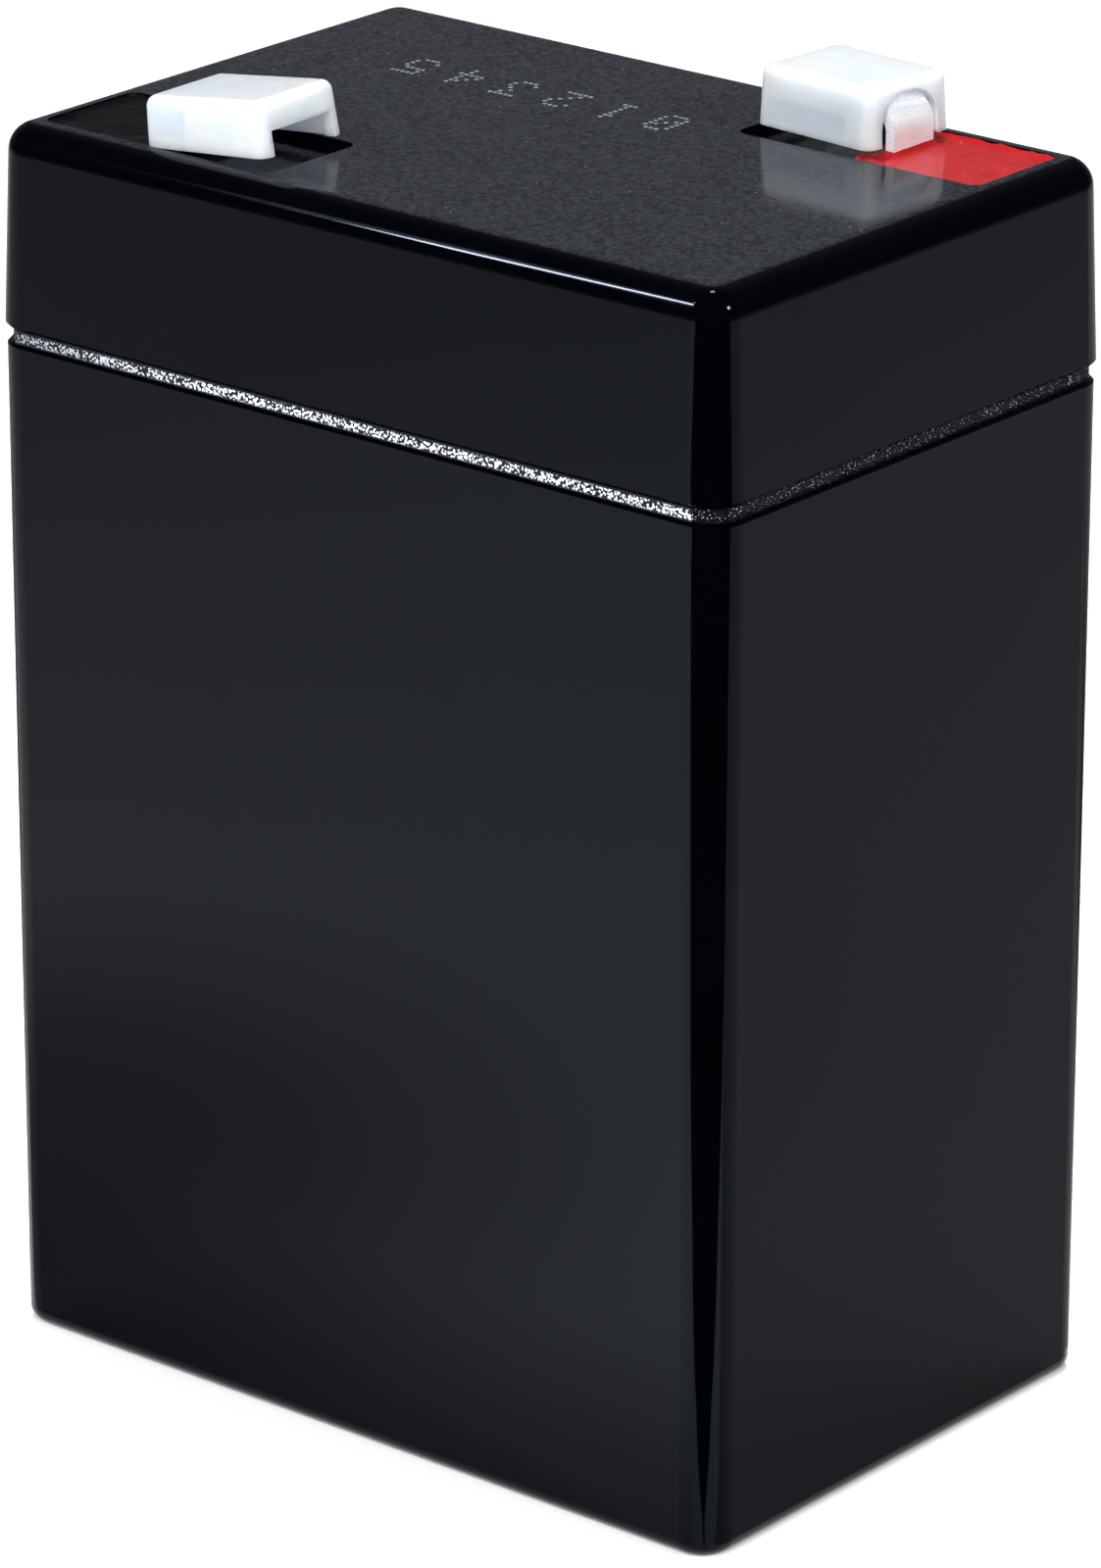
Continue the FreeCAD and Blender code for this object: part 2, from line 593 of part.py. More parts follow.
def build_plates(label, thickness, count, place, turned):
    """Plates of one sort in one cell, each with its lug."""
    body = new_body(label)
    first = f"-{(count - 1) / 2} * {PLATE_PITCH}"
    left, right = f"{first} - {thickness} / 2", f"{first} + {thickness} / 2"
    plate = sketch_on(body, "XY_Plane", PLATE_FOOT)
    add_rectangle(plate, left, right, f"-{PLATE_HALF}", PLATE_HALF)
    plate_pad = pad(plate, f"{PLATE_TOP} - {PLATE_FOOT}")
    lug = sketch_on(body, "XY_Plane", PLATE_TOP)
    add_rectangle(lug, left, right, f"{LUG_Y} - lug_width / 2", f"{LUG_Y} + lug_width / 2")
    lug_pad = pad(lug, "lug_rise + lug_seat")
    row_along_x([plate_pad, lug_pad], PLATE_PITCH, count)
    set_in_cell(body, place, turned)
    return body


def build_separators(label, place):
    """Glass mats of one cell, each folded round the foot of a positive plate."""
    body = new_body(label)
    first = f"-{(POSITIVE_COUNT - 1) / 2} * {PLATE_PITCH}"
    half_fold = f"(positive_plate / 2 + {MAT})"
    fold = sketch_on(body, "XY_Plane", REST_TOP)
    add_rectangle(
        fold, f"{first} - {half_fold}", f"{first} + {half_fold}", f"-{MAT_HALF}", MAT_HALF)
    fold_pad = pad(fold, f"{MAT_TOP} - {REST_TOP}")
    inside = sketch_on(body, "XY_Plane", MAT_TOP)
    add_rectangle(
        inside, f"{first} - positive_plate / 2", f"{first} + positive_plate / 2",
        f"-{MAT_HALF}", MAT_HALF)
    inside_cut = pocket(inside, f"{MAT_TOP} - {PLATE_FOOT}")
    row_along_x([fold_pad, inside_cut], PLATE_PITCH, POSITIVE_COUNT)
    set_in_cell(body, place, False)
    return body


def build_strap(label, thickness, count, place, turned, riser_side):
    """Cast strap on a row of lugs, with an upright at a partition or a terminal post."""
    body = new_body(label)
    half_length = f"({CELL_LENGTH} / 2 - strap_gap)"
    low, high = f"{LUG_Y} - strap_width / 2", f"{LUG_Y} + strap_width / 2"
    bar = sketch_on(body, "XY_Plane", STRAP_FOOT)
    add_rectangle(bar, f"-{half_length}", half_length, low, high)
    pad(bar, "strap_thickness")
    if riser_side:
        riser = sketch_on(body, "XY_Plane", STRAP_FOOT)
        near, far = f"({CELL_LENGTH} / 2 - riser_thickness)", f"({CELL_LENGTH} / 2)"
        ends = (near, far) if riser_side > 0 else (f"-{far}", f"-{near}")
        add_rectangle(riser, *ends, low, high)
        pad(riser, "strap_thickness + riser_height")
    else:
        x = f"({POST_X} - {(CELLS - 1) // 2} * {CELL_PITCH})"
        post = sketch_on(body, "XY_Plane", STRAP_TOP)
        add_circle(post, x, POST_Y, "post_diameter")
        pad(post, f"{WELL_FLOOR} - {STRAP_TOP}")
        stub = sketch_on(body, "XY_Plane", WELL_FLOOR)
        add_circle(stub, x, POST_Y, "stub_diameter")
        pad(stub, "tab_thickness + stub_rise")

    slot = sketch_on(body, "XY_Plane", STRAP_FOOT)
    first = f"-{(count - 1) / 2} * {PLATE_PITCH}"
    add_rectangle(
        slot, f"{first} - {thickness} / 2", f"{first} + {thickness} / 2",
        f"{LUG_Y} - lug_width / 2", f"{LUG_Y} + lug_width / 2")
    slot_cut = pocket(slot, "lug_seat", down=False)
    row_along_x([slot_cut], PLATE_PITCH, count)
    set_in_cell(body, place, turned)
    return body


def set_in_cell(body, place, turned):
    """Move a piece to its cell, half a turn about Z where its lugs lie at -Y."""
    if turned:
        body.Placement = FreeCAD.Placement(V(), HALF_TURN)
    body.setExpression("Placement.Base.x", bound(f"{place} * {CELL_PITCH}"))


def build_cell(index):
    """Plates, glass mats and straps of one cell. The polarity swaps sides each cell."""
    place = index - (CELLS - 1) // 2
    name = f"cell_{index + 1}"
    first, last = index == 0, index == CELLS - 1
    positive_turned = index % 2 == 1
    negative_turned = not positive_turned
    sides = {"positive": 0 if last else 1, "negative": 0 if first else -1}
    rows = (
        ("positive", POSITIVE_COUNT, positive_turned),
        ("negative", NEGATIVE_COUNT, negative_turned),
    )
    pieces = [build_separators(f"{name}_separators", place)]
    for sort, count, turned in rows:
        thickness = f"{sort}_plate"
        riser_side = -sides[sort] if turned else sides[sort]
        pieces.append(build_plates(f"{name}_{sort}_plates", thickness, count, place, turned))
        pieces.append(build_strap(
            f"{name}_{sort}_strap", thickness, count, place, turned, riser_side))
    return pieces


def build_partition_weld(index):
    """Lead weld that joins two straps through the hole in a partition."""
    weld = doc.addObject("Part::Cylinder", f"partition_weld_{index + 1}")
    weld.setExpression("Radius", bound("weld_diameter / 2"))
    weld.setExpression("Height", bound("partition"))
    weld.Placement = FreeCAD.Placement(V(), FreeCAD.Rotation(V(0, 1, 0), 90))
    x = f"({index} - {(CELLS - 1) / 2}) * {CELL_PITCH} + {CELL_PITCH} / 2 - partition / 2"
    y = LUG_Y if index % 2 == 0 else f"-{LUG_Y}"
    for axis, formula in (("x", x), ("y", y), ("z", WELD_LEVEL)):
        weld.setExpression(f"Placement.Base.{axis}", bound(formula))
    return weld


def build_post_seal(label, turned):
    """Rubber ring between a post and its collar in the inner cover."""
    body = new_body(label)
    ring = sketch_on(body, "XY_Plane", f"{INNER_COVER_TOP} - seal_section")
    add_circle(ring, POST_X, POST_Y, SEAL_SEAT)
    add_circle(ring, POST_X, POST_Y, "post_diameter")
    pad(ring, "seal_section")
    if turned:
        body.Placement = FreeCAD.Placement(V(), HALF_TURN)
    return body


def bend_centre(sign):
    """Middle of a tab's upper bend along X and Z."""
    x = f"({STEM_X} - tab_bend - tab_thickness / 2)"
    z = f"(case_height + {sign}_rise - tab_thickness - tab_bend)"
    return x, z


def add_tab_path(path, sign):
    """Middle line of a tab: foot, upright and lifted end, with two bends."""
    foot_radius, bend_radius = "(foot_bend + tab_thickness / 2)", "(tab_bend + tab_thickness / 2)"
    level = f"({WELL_FLOOR} + tab_thickness / 2)"
    formulas = (FOOT_END, STEM_X, level, *bend_centre(sign), foot_radius, bend_radius)
    foot_end, stem, low, centre_x, centre_z, small, large = (value(f) for f in formulas)
    lift, leg = math.radians(value(f"{sign}_lift")), value("tab_leg")
    top = (centre_x + large * math.sin(lift), centre_z + large * math.cos(lift))
    tip = (top[0] - leg * math.cos(lift), top[1] + leg * math.sin(lift))

    foot = add_line(path, (foot_end, low), (stem + small, low))
    heel = add_arc(path, (stem + small, low + small), small, 180, 270)
    upright = add_line(path, (stem, low + small), (stem, centre_z))
    bend = add_arc(path, (centre_x, centre_z), large, 0, 90 - math.degrees(lift))
    end = add_line(path, top, tip)
    path.addConstraint(Sketcher.Constraint("Horizontal", foot))
    path.addConstraint(Sketcher.Constraint("Vertical", upright))
    path.addConstraint(Sketcher.Constraint("Tangent", foot, 2, heel, 2))
    path.addConstraint(Sketcher.Constraint("Tangent", heel, 1, upright, 1))
    join_tangent(path, upright, bend)
    join_tangent(path, bend, end)
    constrain(path, FOOT_END, "DistanceX", -1, 1, foot, 1)
    constrain(path, level, "DistanceY", -1, 1, foot, 1)
    constrain(path, STEM_X, "DistanceX", -1, 1, upright, 1)
    constrain(path, foot_radius, "Radius", heel)
    constrain(path, bend_radius, "Radius", bend)
    constrain(path, bend_centre(sign)[1], "DistanceY", -1, 1, bend, 3)
    constrain(path, "tab_leg", "Distance", end)
    constrain(path, f"180 - {sign}_lift", "Angle", end)
    return tip


def build_terminal(sign, turned):
    """Flat tab with a foot on the post, an upright and a bent end for the connector."""
    body = new_body(f"{sign}_terminal")
    middle = f"({POST_Y} + {sign}_shift)"
    path = sketch_on(body, "XZ_Plane", f"-{middle}")
    tip = add_tab_path(path, sign)
    section = sketch_on(body, "YZ_Plane", FOOT_END)
    add_rectangle(
        section, f"{middle} - tab_width / 2", f"{middle} + tab_width / 2",
        WELL_FLOOR, f"{WELL_FLOOR} + tab_thickness")
    strip = body.newObject("PartDesign::AdditivePipe", f"{sign}_terminal_strip")
    strip.Profile = section
    strip.Spine = path
    doc.recompute()

    def at_free_end(edge):
        """Whether an edge runs through the sheet at a corner of the free end."""
        place = edge.CenterOfMass
        sideways = abs(place.y - value(middle)) - value("tab_width") / 2
        return abs(sideways) < 1e-3 and math.hypot(place.x - tip[0], place.z - tip[1]) < 1e-3

    chamfer(strip, "tab_tip_chamfer", at_free_end)

    snap = sketch_on(body, "XY_Plane")
    about_y = FreeCAD.Rotation(V(0, 1, 0), 1)
    snap.AttachmentOffset = FreeCAD.Placement(V(), about_y)
    lift = f"{sign}_lift"
    along = "(tab_leg - tab_hole_back)"
    bend_x, bend_z = bend_centre(sign)
    radius = "(tab_bend + tab_thickness / 2)"
    x = f"{bend_x} + {radius} * sin({lift}) - {along} * cos({lift})"
    z = f"{bend_z} + {radius} * cos({lift}) + {along} * sin({lift})"
    places = (("Base.x", x), ("Base.y", middle), ("Base.z", z), ("Rotation.Angle", lift))
    for name, formula in places:
        snap.setExpression(f"AttachmentOffset.{name}", bound(formula))
    doc.recompute()
    add_circle(snap, "0", "0", "tab_hole")
    pocket(snap, "2 * tab_thickness", both_ways=True)

    eye = sketch_on(body, "XY_Plane", WELL_FLOOR)
    add_circle(eye, POST_X, POST_Y, "stub_diameter")
    pocket(eye, "2 * tab_thickness", both_ways=True)
    if turned:
        body.Placement = FreeCAD.Placement(V(), HALF_TURN)
    return body


def build_potting(sign, strap, terminal):
    """Resin that fills a well round the tab and the post."""
    fill = new_body(f"{sign}_potting_fill")
    well = sketch_on(fill, "XY_Plane", WELL_FLOOR)
    add_rounded_rectangle(
        well, WELL_INNER, WELL_OUTER, RECESS_NEAR, RECESS_FAR, "recess_radius")
    pad(well, "well_depth - potting_drop")
    hole = sketch_on(fill, "XY_Plane", WELL_FLOOR)
    add_circle(hole, POST_X, POST_Y, POST_HOLE)
    pad(hole, "well_shell", down=True)
    fill.Placement = terminal.Placement
    potting = fill
    for label, piece in ((f"{sign}_potting_round_tab", terminal), (f"{sign}_potting", strap)):
        cut = doc.addObject("Part::Cut", label)
        cut.Base = potting
        cut.Tool = piece
        potting = cut
    doc.recompute()
    return potting


def build_terminal_cap(sign, turned):
    """Cap over the end of a tab, open below, with an arch for the bend and a low slot."""
    body = new_body(f"{sign}_terminal_cap")
    half_x, half_y = "cap_length / 2", "cap_width / 2"
    outline = sketch_on(body, "XY_Plane")
    add_rounded_rectangle(
        outline, f"-{half_x}", half_x, f"-{half_y}", half_y, "cap_radius + cap_draft")
    block = pad(outline, "cap_height", taper="-atan(cap_draft / cap_height)")
    top = value("cap_height")
    fillet(block, "cap_radius - 0.05", lambda e: lies_at(e, top))

    inside = sketch_on(body, "XY_Plane")
    inner_x, inner_y = f"({half_x} - cap_side)", f"({half_y} - cap_side)"
    add_rounded_rectangle(
        inside, f"-{inner_x}", inner_x, f"-{inner_y}", inner_y, "least_radius")
    pocket(inside, "cap_height - cap_top", down=False)

    arch = sketch_on(body, "YZ_Plane", half_x)
    add_rounded_rectangle(
        arch, "-cap_arch / 2", "cap_arch / 2", "-cap_height", "cap_height - cap_top",
        "cap_arch_radius")
    pocket(arch, "2 * cap_side")
    slot = sketch_on(body, "YZ_Plane", f"-{half_x}")
    add_rectangle(
        slot, "-cap_slot / 2", "cap_slot / 2", "-cap_height", "cap_slot_height")
    pocket(slot, "2 * cap_side", down=False)

    lift = f"{sign}_lift"
    bend_x, bend_z = bend_centre(sign)
    along = f"(tab_bend + tab_thickness / 2 - {sign}_cap_back - {half_x})"
    above = "(tab_bend + tab_thickness + cap_gap - cap_height + cap_top)"
    x = f"({bend_x} + {along} * cos({lift}) + {above} * sin({lift}))"
    y = f"({POST_Y} + {sign}_shift + {sign}_cap_shift)"
    z = f"({bend_z} - {along} * sin({lift}) + {above} * cos({lift}))"
    side, turn = ("-", f"180 + {sign}_cap_turn") if turned else ("", f"{sign}_cap_turn")
    place = f"create(<<vector>>; {side}{x}; {side}{y}; {z})"
    rotation = f"create(<<rotation>>; {turn}; {lift}; 0)"
    body.setExpression("Placement", bound(f"create(<<placement>>; {place}; {rotation})"))
    return body


def build_battery():
    """Every sub-part of the battery."""
    pieces = [build_container(), build_outer_cover(), build_inner_cover()]
    pieces += [build_cover_adhesive(), build_inner_cover_adhesive()]
    for index in range(CELLS):
        pieces += build_cell(index)
        pieces.append(build_valve_cap(f"valve_cap_{index + 1}", index - (CELLS - 1) // 2))
    pieces += [build_partition_weld(index) for index in range(CELLS - 1)]
    named = {piece.Label: piece for piece in pieces}
    straps = {"positive": f"cell_{CELLS}_positive_strap", "negative": "cell_1_negative_strap"}
    for sign, turned in (("positive", False), ("negative", True)):
        terminal = build_terminal(sign, turned)
        pieces += [terminal, build_potting(sign, named[straps[sign]], terminal)]
        pieces += [build_post_seal(f"{sign}_post_seal", turned), build_terminal_cap(sign, turned)]
    doc.recompute()
    return pieces


def check(pieces):
    """Stop where an object has failed or a piece has no sound shape."""
    for item in doc.Objects:
        if {"Invalid", "Error"} & set(item.State):
            raise RuntimeError(f"{item.Label} failed")
    for piece in pieces:
        if piece.Shape.isNull() or not piece.Shape.isValid():
            raise RuntimeError(f"{piece.Label} has no sound shape")


battery = build_battery()
check(battery)
os.makedirs("parts", exist_ok=True)
for piece in battery:
    piece.Shape.exportStep(f"parts/{piece.Label}.step")
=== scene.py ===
import json
import math

import bmesh
import bpy
from mathutils import Matrix, Vector, noise


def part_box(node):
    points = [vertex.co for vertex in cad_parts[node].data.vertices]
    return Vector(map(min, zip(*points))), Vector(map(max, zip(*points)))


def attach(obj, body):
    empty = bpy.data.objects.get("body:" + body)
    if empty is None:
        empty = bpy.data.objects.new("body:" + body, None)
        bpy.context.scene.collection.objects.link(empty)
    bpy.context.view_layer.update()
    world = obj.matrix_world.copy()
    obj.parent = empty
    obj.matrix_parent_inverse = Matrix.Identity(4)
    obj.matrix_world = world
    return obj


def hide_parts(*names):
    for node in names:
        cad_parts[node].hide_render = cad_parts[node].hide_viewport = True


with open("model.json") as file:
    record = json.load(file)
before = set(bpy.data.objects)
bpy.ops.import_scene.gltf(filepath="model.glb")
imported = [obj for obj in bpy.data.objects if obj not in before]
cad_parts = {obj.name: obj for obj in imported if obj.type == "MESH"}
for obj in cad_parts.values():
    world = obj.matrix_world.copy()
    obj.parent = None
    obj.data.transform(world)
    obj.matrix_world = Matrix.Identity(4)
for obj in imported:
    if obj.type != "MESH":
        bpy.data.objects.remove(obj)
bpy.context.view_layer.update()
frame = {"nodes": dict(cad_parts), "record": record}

MM = 0.001
ROOT = "root"
nodes = frame["nodes"]
scene = bpy.context.scene

# Places in millimetres, from the frame or the same as in the solids.
CASE_LOW, CASE_HIGH = (Vector(corner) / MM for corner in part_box("outer_cover"))
TOP = CASE_HIGH.z
SEAM_TOP = CASE_LOW.z
SEAM_LOW = SEAM_TOP - 1.1
PARTITIONS_X = (-11.05, 11.05)
PARTITIONS_TOP = (79.0, 80.5)
WELL_X, WELL_Y = (20.4, 32.0), (10.2, 20.4)
WELL_CORNER = 1.0
RESIN_LEVEL = TOP - 0.4
STEM_X, STEM_Y = (21.6, 22.4), (12.92, 17.68)

# The push-on caps, in millimetres and degrees. Each stands at its centre, turned by yaw and tilted
# by pitch. It reaches from back (the slot for the tab) to front (the arch), and its foot is at
# foot under the arch and lower by dip under the slot.
CAPS = {
    "positive": {"centre": (16.45, 15.85, 97.95), "yaw": -4.4, "pitch": 0.0, "back": -5.9,
                 "front": 5.6, "height": 4.58, "foot": 0.0, "dip": 0.0},
    "negative": {"centre": (-15.397, -15.85, 97.9665), "yaw": 180.8, "pitch": 7.7, "back": -5.5,
                 "front": 6.4, "height": 4.03, "foot": 0.25, "dip": 0.45},
}

# The tabs' shade in the caps, in millimetres: middle and half size along X, then along Z.
TAB_SHADES = ((15.2, 4.0, 99.4, 0.85), (-19.4, 1.7, 99.9, 1.45))

# The adhesive in the groove of each wall, in millimetres: quarter turns from the front wall, the
# bead's length, how far from the battery's middle it starts, its grid's step and how far it swells.
BEADS = {
    "front": {"quarter": 0, "length": 65.0, "depth": 23.25, "step": 0.05, "reach": 0.13},
    "right": {"quarter": 1, "length": 43.0, "depth": 34.33, "step": 0.09, "reach": 0.30},
    "back": {"quarter": 2, "length": 64.0, "depth": 22.83, "step": 0.09, "reach": 0.30},
    "left": {"quarter": 3, "length": 43.0, "depth": 34.33, "step": 0.09, "reach": 0.30},
}

# Dot-matrix digits: one number a row from the top, its bits the five dots from the left.
DIGIT_COLUMNS = 5
DIGITS = {
    "0": (14, 17, 19, 21, 25, 17, 14), "1": (4, 12, 4, 4, 4, 4, 14), "2": (14, 17, 1, 2, 4, 8, 31),
    "3": (31, 2, 4, 2, 1, 17, 14), "4": (2, 6, 10, 18, 31, 2, 2), "5": (31, 16, 30, 1, 1, 17, 14),
}

# Colours of the studio's cards.
BLACK, PALE, WHITE = (0.001, 0.001, 0.001), (0.95, 0.96, 0.97), (1.0, 1.0, 1.0)


class Shader:
    """A node material with a Principled surface, painted by places on the object in metres."""

    def __init__(self, name):
        self.material = bpy.data.materials.new(name)
        self.material.use_nodes = True
        self.tree = self.material.node_tree
        self.surface = self.tree.nodes["Principled BSDF"]
        self.place = self.add("ShaderNodeTexCoord").outputs["Object"]

    def add(self, kind, **settings):
        """A new node with its settings."""
        node = self.tree.nodes.new(kind)
        for name, value in settings.items():
            setattr(node, name, value)
        return node

    def feed(self, socket, value):
        """Set a socket to a number or a colour, or link another node's output to it."""
        if isinstance(value, (int, float)):
            socket.default_value = value
        elif isinstance(value, tuple):
            socket.default_value = (*value, 1.0)
        else:
            self.tree.links.new(value, socket)

    def set(self, **values):
        """Constant values, straight on the surface's own sockets."""
        for name, value in values.items():
            self.surface.inputs[name.replace("_", " ")].default_value = value

    def scaled(self, factors):
        """The place, times three factors."""
        node = self.add("ShaderNodeMapping")
        node.inputs["Scale"].default_value = factors
        self.feed(node.inputs["Vector"], self.place)
        return node.outputs["Vector"]

    def noise(self, scale, detail=4.0, roughness=0.55, vector=None, distortion=0.0):
        """Cloudy noise with so many lumps to the metre."""
        node = self.add("ShaderNodeTexNoise")
        node.inputs["Scale"].default_value = scale
        node.inputs["Detail"].default_value = detail
        node.inputs["Roughness"].default_value = roughness
        node.inputs["Distortion"].default_value = distortion
        self.feed(node.inputs["Vector"], vector or self.place)
        return node.outputs["Fac"]

    def voronoi(self, scale):
        """Distance to the nearest of scattered points, so many to the metre."""
        node = self.add("ShaderNodeTexVoronoi", feature="F1")
        node.inputs["Scale"].default_value = scale
        self.feed(node.inputs["Vector"], self.place)
        return node.outputs["Distance"]

    def math(self, operation, first, second=None):
        """One sum of one or two values."""
        node = self.add("ShaderNodeMath", operation=operation)
        self.feed(node.inputs[0], first)
        if second is not None:
            self.feed(node.inputs[1], second)
        return node.outputs[0]

    def plus(self, first, second):
        return self.math("ADD", first, second)

    def times(self, first, second):
        return self.math("MULTIPLY", first, second)

    def remap(self, value, low, high, to_low=0.0, to_high=1.0, smooth=False):
        """The value with low and high moved to two new ends, and kept between them."""
        node = self.add("ShaderNodeMapRange")
        if smooth:
            node.interpolation_type = "SMOOTHSTEP"
        ends = {"From Min": low, "From Max": high, "To Min": to_low, "To Max": to_high}
        for name, number in ends.items():
            node.inputs[name].default_value = number
        self.feed(node.inputs["Value"], value)
        return node.outputs["Result"]

    def axis(self, letter, vector=None):
        """One part of the place, or of another vector."""
        node = self.add("ShaderNodeSeparateXYZ")
        self.feed(node.inputs[0], vector or self.place)
        return node.outputs[letter]

    def off(self, letter, middle):
        """How far the place is from a middle along one axis."""
        return self.math("ABSOLUTE", self.math("SUBTRACT", self.axis(letter), middle))

    def colours(self, value, *stops):
        """Colour ramp with stops of (value, colour)."""
        node = self.add("ShaderNodeValToRGB")
        ramp = node.color_ramp
        while len(ramp.elements) < len(stops):
            ramp.elements.new(0.5)
        for element, (place, colour) in zip(ramp.elements, stops):
            element.position = place
            element.color = (*colour, 1.0)
        self.feed(node.inputs["Fac"], value)
        return node.outputs["Color"]

    def mix(self, factor, first, second):
        """Blend of two colours."""
        factor_socket, first_socket, second_socket, colour_output = 0, 6, 7, 2
        node = self.add("ShaderNodeMix", data_type="RGBA")
        self.feed(node.inputs[factor_socket], factor)
        self.feed(node.inputs[first_socket], first)
        self.feed(node.inputs[second_socket], second)
        return node.outputs[colour_output]

    def colour(self, value):
        self.feed(self.surface.inputs["Base Color"], value)

    def rough(self, value):
        self.feed(self.surface.inputs["Roughness"], value)

    def bump(self, *layers):
        """Layers of (height, metres that a height of one stands for), one over the other."""
        normal = None
        for height, distance in layers:
            node = self.add("ShaderNodeBump")
            node.inputs["Distance"].default_value = distance
            node.inputs["Strength"].default_value = 1.0
            self.feed(node.inputs["Height"], height)
            if normal is not None:
                self.feed(node.inputs["Normal"], normal)
            normal = node.outputs["Normal"]
        self.feed(self.surface.inputs["Normal"], normal)


def dress(name, material):
    """Give a node of the frame its material."""
    node = nodes[name]
    if not node.material_slots:
        node.data.materials.append(material)
    for slot in node.material_slots:
        slot.material = material


def case_material():
    """Polished black moulding with a finer, satin top and faint sinks at the partitions; the top's
    lighter colour is partly its satin grain and partly painted sheen.
    """
    side_dark, side_light = (0.0001, 0.0002, 0.0004), (0.0004, 0.0006, 0.0011)
    # Painted sheen: the top's colours are far lighter than the sides', partly for the satin grain and
    # partly as painted sheen.
    top_dark, top_light = (0.0030, 0.0038, 0.0056), (0.0170, 0.0188, 0.0230)
    dust_colour = (0.20, 0.21, 0.23)
    dust_cover, top_roughness, sink_half = 0.5, 0.10, 0.0020
    look = Shader("case_black")
    look.set(Specular_IOR_Level=0.118, Specular_Tint=(0.67, 0.78, 1.0, 1.0), IOR=1.5)
    upward = look.axis("Z", look.add("ShaderNodeNewGeometry").outputs["Normal"])
    on_top = look.remap(upward, 0.95, 0.995, smooth=True)
    cloud = look.noise(60, detail=3)
    fine = look.noise(2600, detail=3, roughness=0.7)
    dust = look.times(look.remap(look.voronoi(850), 0.05, 0.09, 1.0, 0.0), on_top)
    dust = look.times(dust, look.remap(look.noise(300, detail=2), 0.52, 0.60))
    side = look.mix(cloud, side_dark, side_light)
    top = look.mix(look.remap(fine, 0.38, 0.62), top_dark, top_light)
    # Upward faces take the lighter top colours, a painted sheen over the satin grain.
    base = look.mix(on_top, side, top)
    look.colour(look.mix(look.times(dust, dust_cover), base, dust_colour))
    gloss = look.remap(cloud, 0.3, 0.7, 0.04, 0.08)
    look.rough(look.plus(gloss, look.times(look.times(fine, on_top), top_roughness)))
    sink = None
    for x in PARTITIONS_X:
        dip = look.remap(look.off("X", x * MM), 0.0, sink_half, 1.0, 0.0, smooth=True)
        sink = dip if sink is None else look.plus(sink, dip)
    below = look.remap(look.axis("Z"), PARTITIONS_TOP[0] * MM, PARTITIONS_TOP[1] * MM, 1.0, 0.0)
    sink = look.times(look.times(sink, below), -1.0)
    look.bump((look.noise(30, detail=1, roughness=0.4), 0.00008), (sink, 0.000008),
              (look.times(fine, on_top), 0.0000016))
    return look.material


def resin_material(name, deep, light, dust_share, level, ior=1.5):
    """Cast resin with a glossy, slightly uneven surface and a little dust."""
    dust_colour = (0.60, 0.42, 0.42)
    look = Shader(name)
    look.set(Specular_IOR_Level=level, IOR=ior)
    cloud = look.noise(420, detail=4, roughness=0.6)
    dust = look.remap(look.voronoi(1500), 0.06, 0.15, 1.0, 0.0)
    patches = look.remap(look.noise(500, detail=2), 0.50, 0.62, 0.0, dust_share)
    resin = look.colours(cloud, (0.30, deep), (0.70, light))
    look.colour(look.mix(look.times(dust, patches), resin, dust_colour))
    look.rough(look.remap(cloud, 0.3, 0.7, 0.08, 0.20))
    look.bump((look.noise(170, detail=2), 0.00016), (look.noise(2200, detail=3), 0.000008))
    return look.material


def metal_material(name, base, rough, streak, metallic=1.0):
    """Stained metal with fine streaks across the axis that has streak's largest factor."""
    stain_depth, stain_cover = 0.72, 0.8
    look = Shader(name)
    look.set(Metallic=metallic)
    brush = look.noise(900, detail=4, roughness=0.6, vector=look.scaled(streak))
    stain = look.noise(350, detail=4)
    dark = tuple(stain_depth * channel for channel in base)
    look.colour(look.mix(look.times(stain, stain_cover), base, dark))
    look.rough(look.remap(brush, 0.3, 0.7, rough - 0.06, rough + 0.10))
    look.bump((brush, 0.000010), (look.noise(500, detail=2), 0.00004))
    return look.material


def cap_material():
    """Milky translucent soft plastic, with a faint shade where the tabs are inside."""
    cool_milk, pale_milk, tab_shade = (0.80, 0.88, 0.99), (0.89, 0.945, 1.0), (0.52, 0.62, 0.78)
    shade_cover, soft_x, soft_z = 0.5, 0.3, 0.25
    look = Shader("cap_milky")
    look.set(Specular_IOR_Level=0.5, IOR=1.45, Transmission_Weight=0.50, Subsurface_Weight=1.0,
             Subsurface_Radius=(0.0026, 0.0026, 0.0026), Subsurface_Scale=1.0)
    cloud = look.noise(230, detail=3, roughness=0.5, distortion=0.4)
    milk = look.colours(cloud, (0.35, cool_milk), (0.65, pale_milk))
    shade = None
    for x, half_x, z, half_z in TAB_SHADES:
        in_x = look.remap(look.off("X", x * MM), (half_x - soft_x) * MM, (half_x + soft_x) * MM,
                          shade_cover, 0.0, smooth=True)
        in_z = look.remap(look.off("Z", z * MM), (half_z - soft_z) * MM, (half_z + soft_z) * MM,
                          1.0, 0.0, smooth=True)
        patch = look.times(in_x, in_z)
        shade = patch if shade is None else look.plus(shade, patch)
    look.colour(look.mix(shade, milk, tab_shade))
    look.rough(look.remap(look.noise(400, detail=3), 0.3, 0.7, 0.08, 0.16))
    look.bump((look.noise(200, detail=2), 0.00005))
    return look.material


